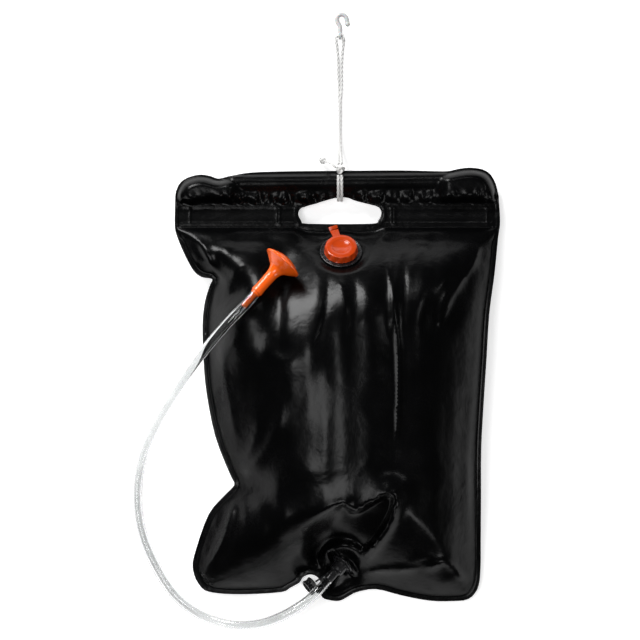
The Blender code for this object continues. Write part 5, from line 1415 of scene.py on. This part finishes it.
flare = HEAD_RADIUS - HEAD_NECK_RADIUS
bell = [(HEAD_NECK_RADIUS + flare * out, -BELL_LENGTH * back) for back, out in BELL_SHARES]
bell_line = [tuple(p) for p in smooth_line(bell[1:], 4)]
lip = HEAD_RADIUS - HEAD_WALL
rose_radius = lip - SEAT_GAP
shelf = rose_height(rose_radius, 0.0) - ROSE_THICKNESS - SEAT_GAP
inner = [(max(radius - HEAD_WALL, HEAD_BORE), back) for radius, back in bell if back < shelf - HEAD_WALL]
profile = [(HEAD_RADIUS - inward, out) for inward, out in LIP_ROUND] + bell_line
profile += [
    (HEAD_NECK_RADIUS - HEAD_WAIST, -HEAD_LENGTH * HEAD_WAIST_SHARE),
    (HEAD_NECK_RADIUS - HEAD_WAIST, HEAD_COLLAR_TOP - HEAD_LENGTH),
    (HEAD_NECK_RADIUS, HEAD_COLLAR - HEAD_LENGTH), (HEAD_NECK_RADIUS, HEAD_WALL / 2 - HEAD_LENGTH),
    (HEAD_NECK_RADIUS - HEAD_WALL / 2, -HEAD_LENGTH), (HEAD_BORE, -HEAD_LENGTH), *inner[::-1],
    (lip - HEAD_WALL, shelf - HEAD_WALL / 2), (lip - HEAD_WALL, shelf), (lip, shelf), (lip, 0.0)]
head = turned("head_bell", profile, head_frame, orange_plastic, HEAD_SIDES, rounding=0.00025)
assign(head, "head_body", "sprayer")

holes = [(0.0, 0.0)]
for ring_count in (1, 2, 3):
    holes += [tuple(spot) for spot in circle(0.0, 0.0, ring_count * ROSE_PITCH, 6 * ring_count)]
rose_loops = [circle(0.0, 0.0, rose_radius, HEAD_SIDES)]
rose_loops += [circle(*spot, ROSE_HOLE, ROSE_HOLE_SIDES) for spot in holes]
rose_rows = np.concatenate([circle(0.0, 0.0, radius, round(radius / ROSE_RADIUS_PER_POINT))
                            for radius in np.arange(2 * ROSE_STEP, rose_radius - ROSE_RIM, ROSE_STEP)])
for spot in holes:
    rose_rows = rose_rows[np.hypot(*(rose_rows - spot).T) > ROSE_HOLE + ROSE_POINT_GAP]
rose = film_sheet("head_rose_plate", rose_loops, rose_rows, ROSE_STEP, rose_height, ROSE_THICKNESS,
                  orange_plastic)
rose.data.transform(head_frame)
assign(shade(rose), "head_rose", "sprayer")

stem_top = STEM_REACH - HEAD_LENGTH
stem_foot = -HEAD_LENGTH - SEAT_GAP
seal_middle = SEAL_PLACE - HEAD_LENGTH
seal_ring = HEAD_BORE - SEAL_CLEARANCE - SEAL_RADIUS
groove = seal_ring - SEAL_RADIUS - SEAL_CLEARANCE
groove_half = SEAL_RADIUS + SEAL_CLEARANCE
blind = seal_middle - BOSS_DEPTH
profile = [
    (bore, HOSE_TOP - SPIGOT_LENGTH), (bore, blind), (0.0, blind), (0.0, stem_top),
    (STEM_RADIUS - BARB_HEIGHT, stem_top), (STEM_RADIUS, stem_top - BARB_HEIGHT),
    (STEM_RADIUS, seal_middle + groove_half), (groove, seal_middle + groove_half),
    (groove, seal_middle - groove_half), (STEM_RADIUS, seal_middle - groove_half), (STEM_RADIUS, stem_foot),
    (STEM_COLLAR, stem_foot), (STEM_COLLAR, HOSE_TOP)]
profile += barbs(HOSE_TOP, BARB_RADIUS, -1)
stem = turned("head_stem_barb", profile, head_frame, orange_plastic)
assign(stem, "head_stem", "bag")

seal_rubber = plastic("seal_rubber", (0.015, 0.015, 0.015), (0.025, 0.025, 0.025), 0.5, 0.65)
profile = [(seal_ring + x, seal_middle + y) for x, y in circle(0.0, 0.0, SEAL_RADIUS, 20)]
seal = turned("stem_o_ring", profile, head_frame, seal_rubber)
assign(seal, "head_seal", "bag")

low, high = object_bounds()
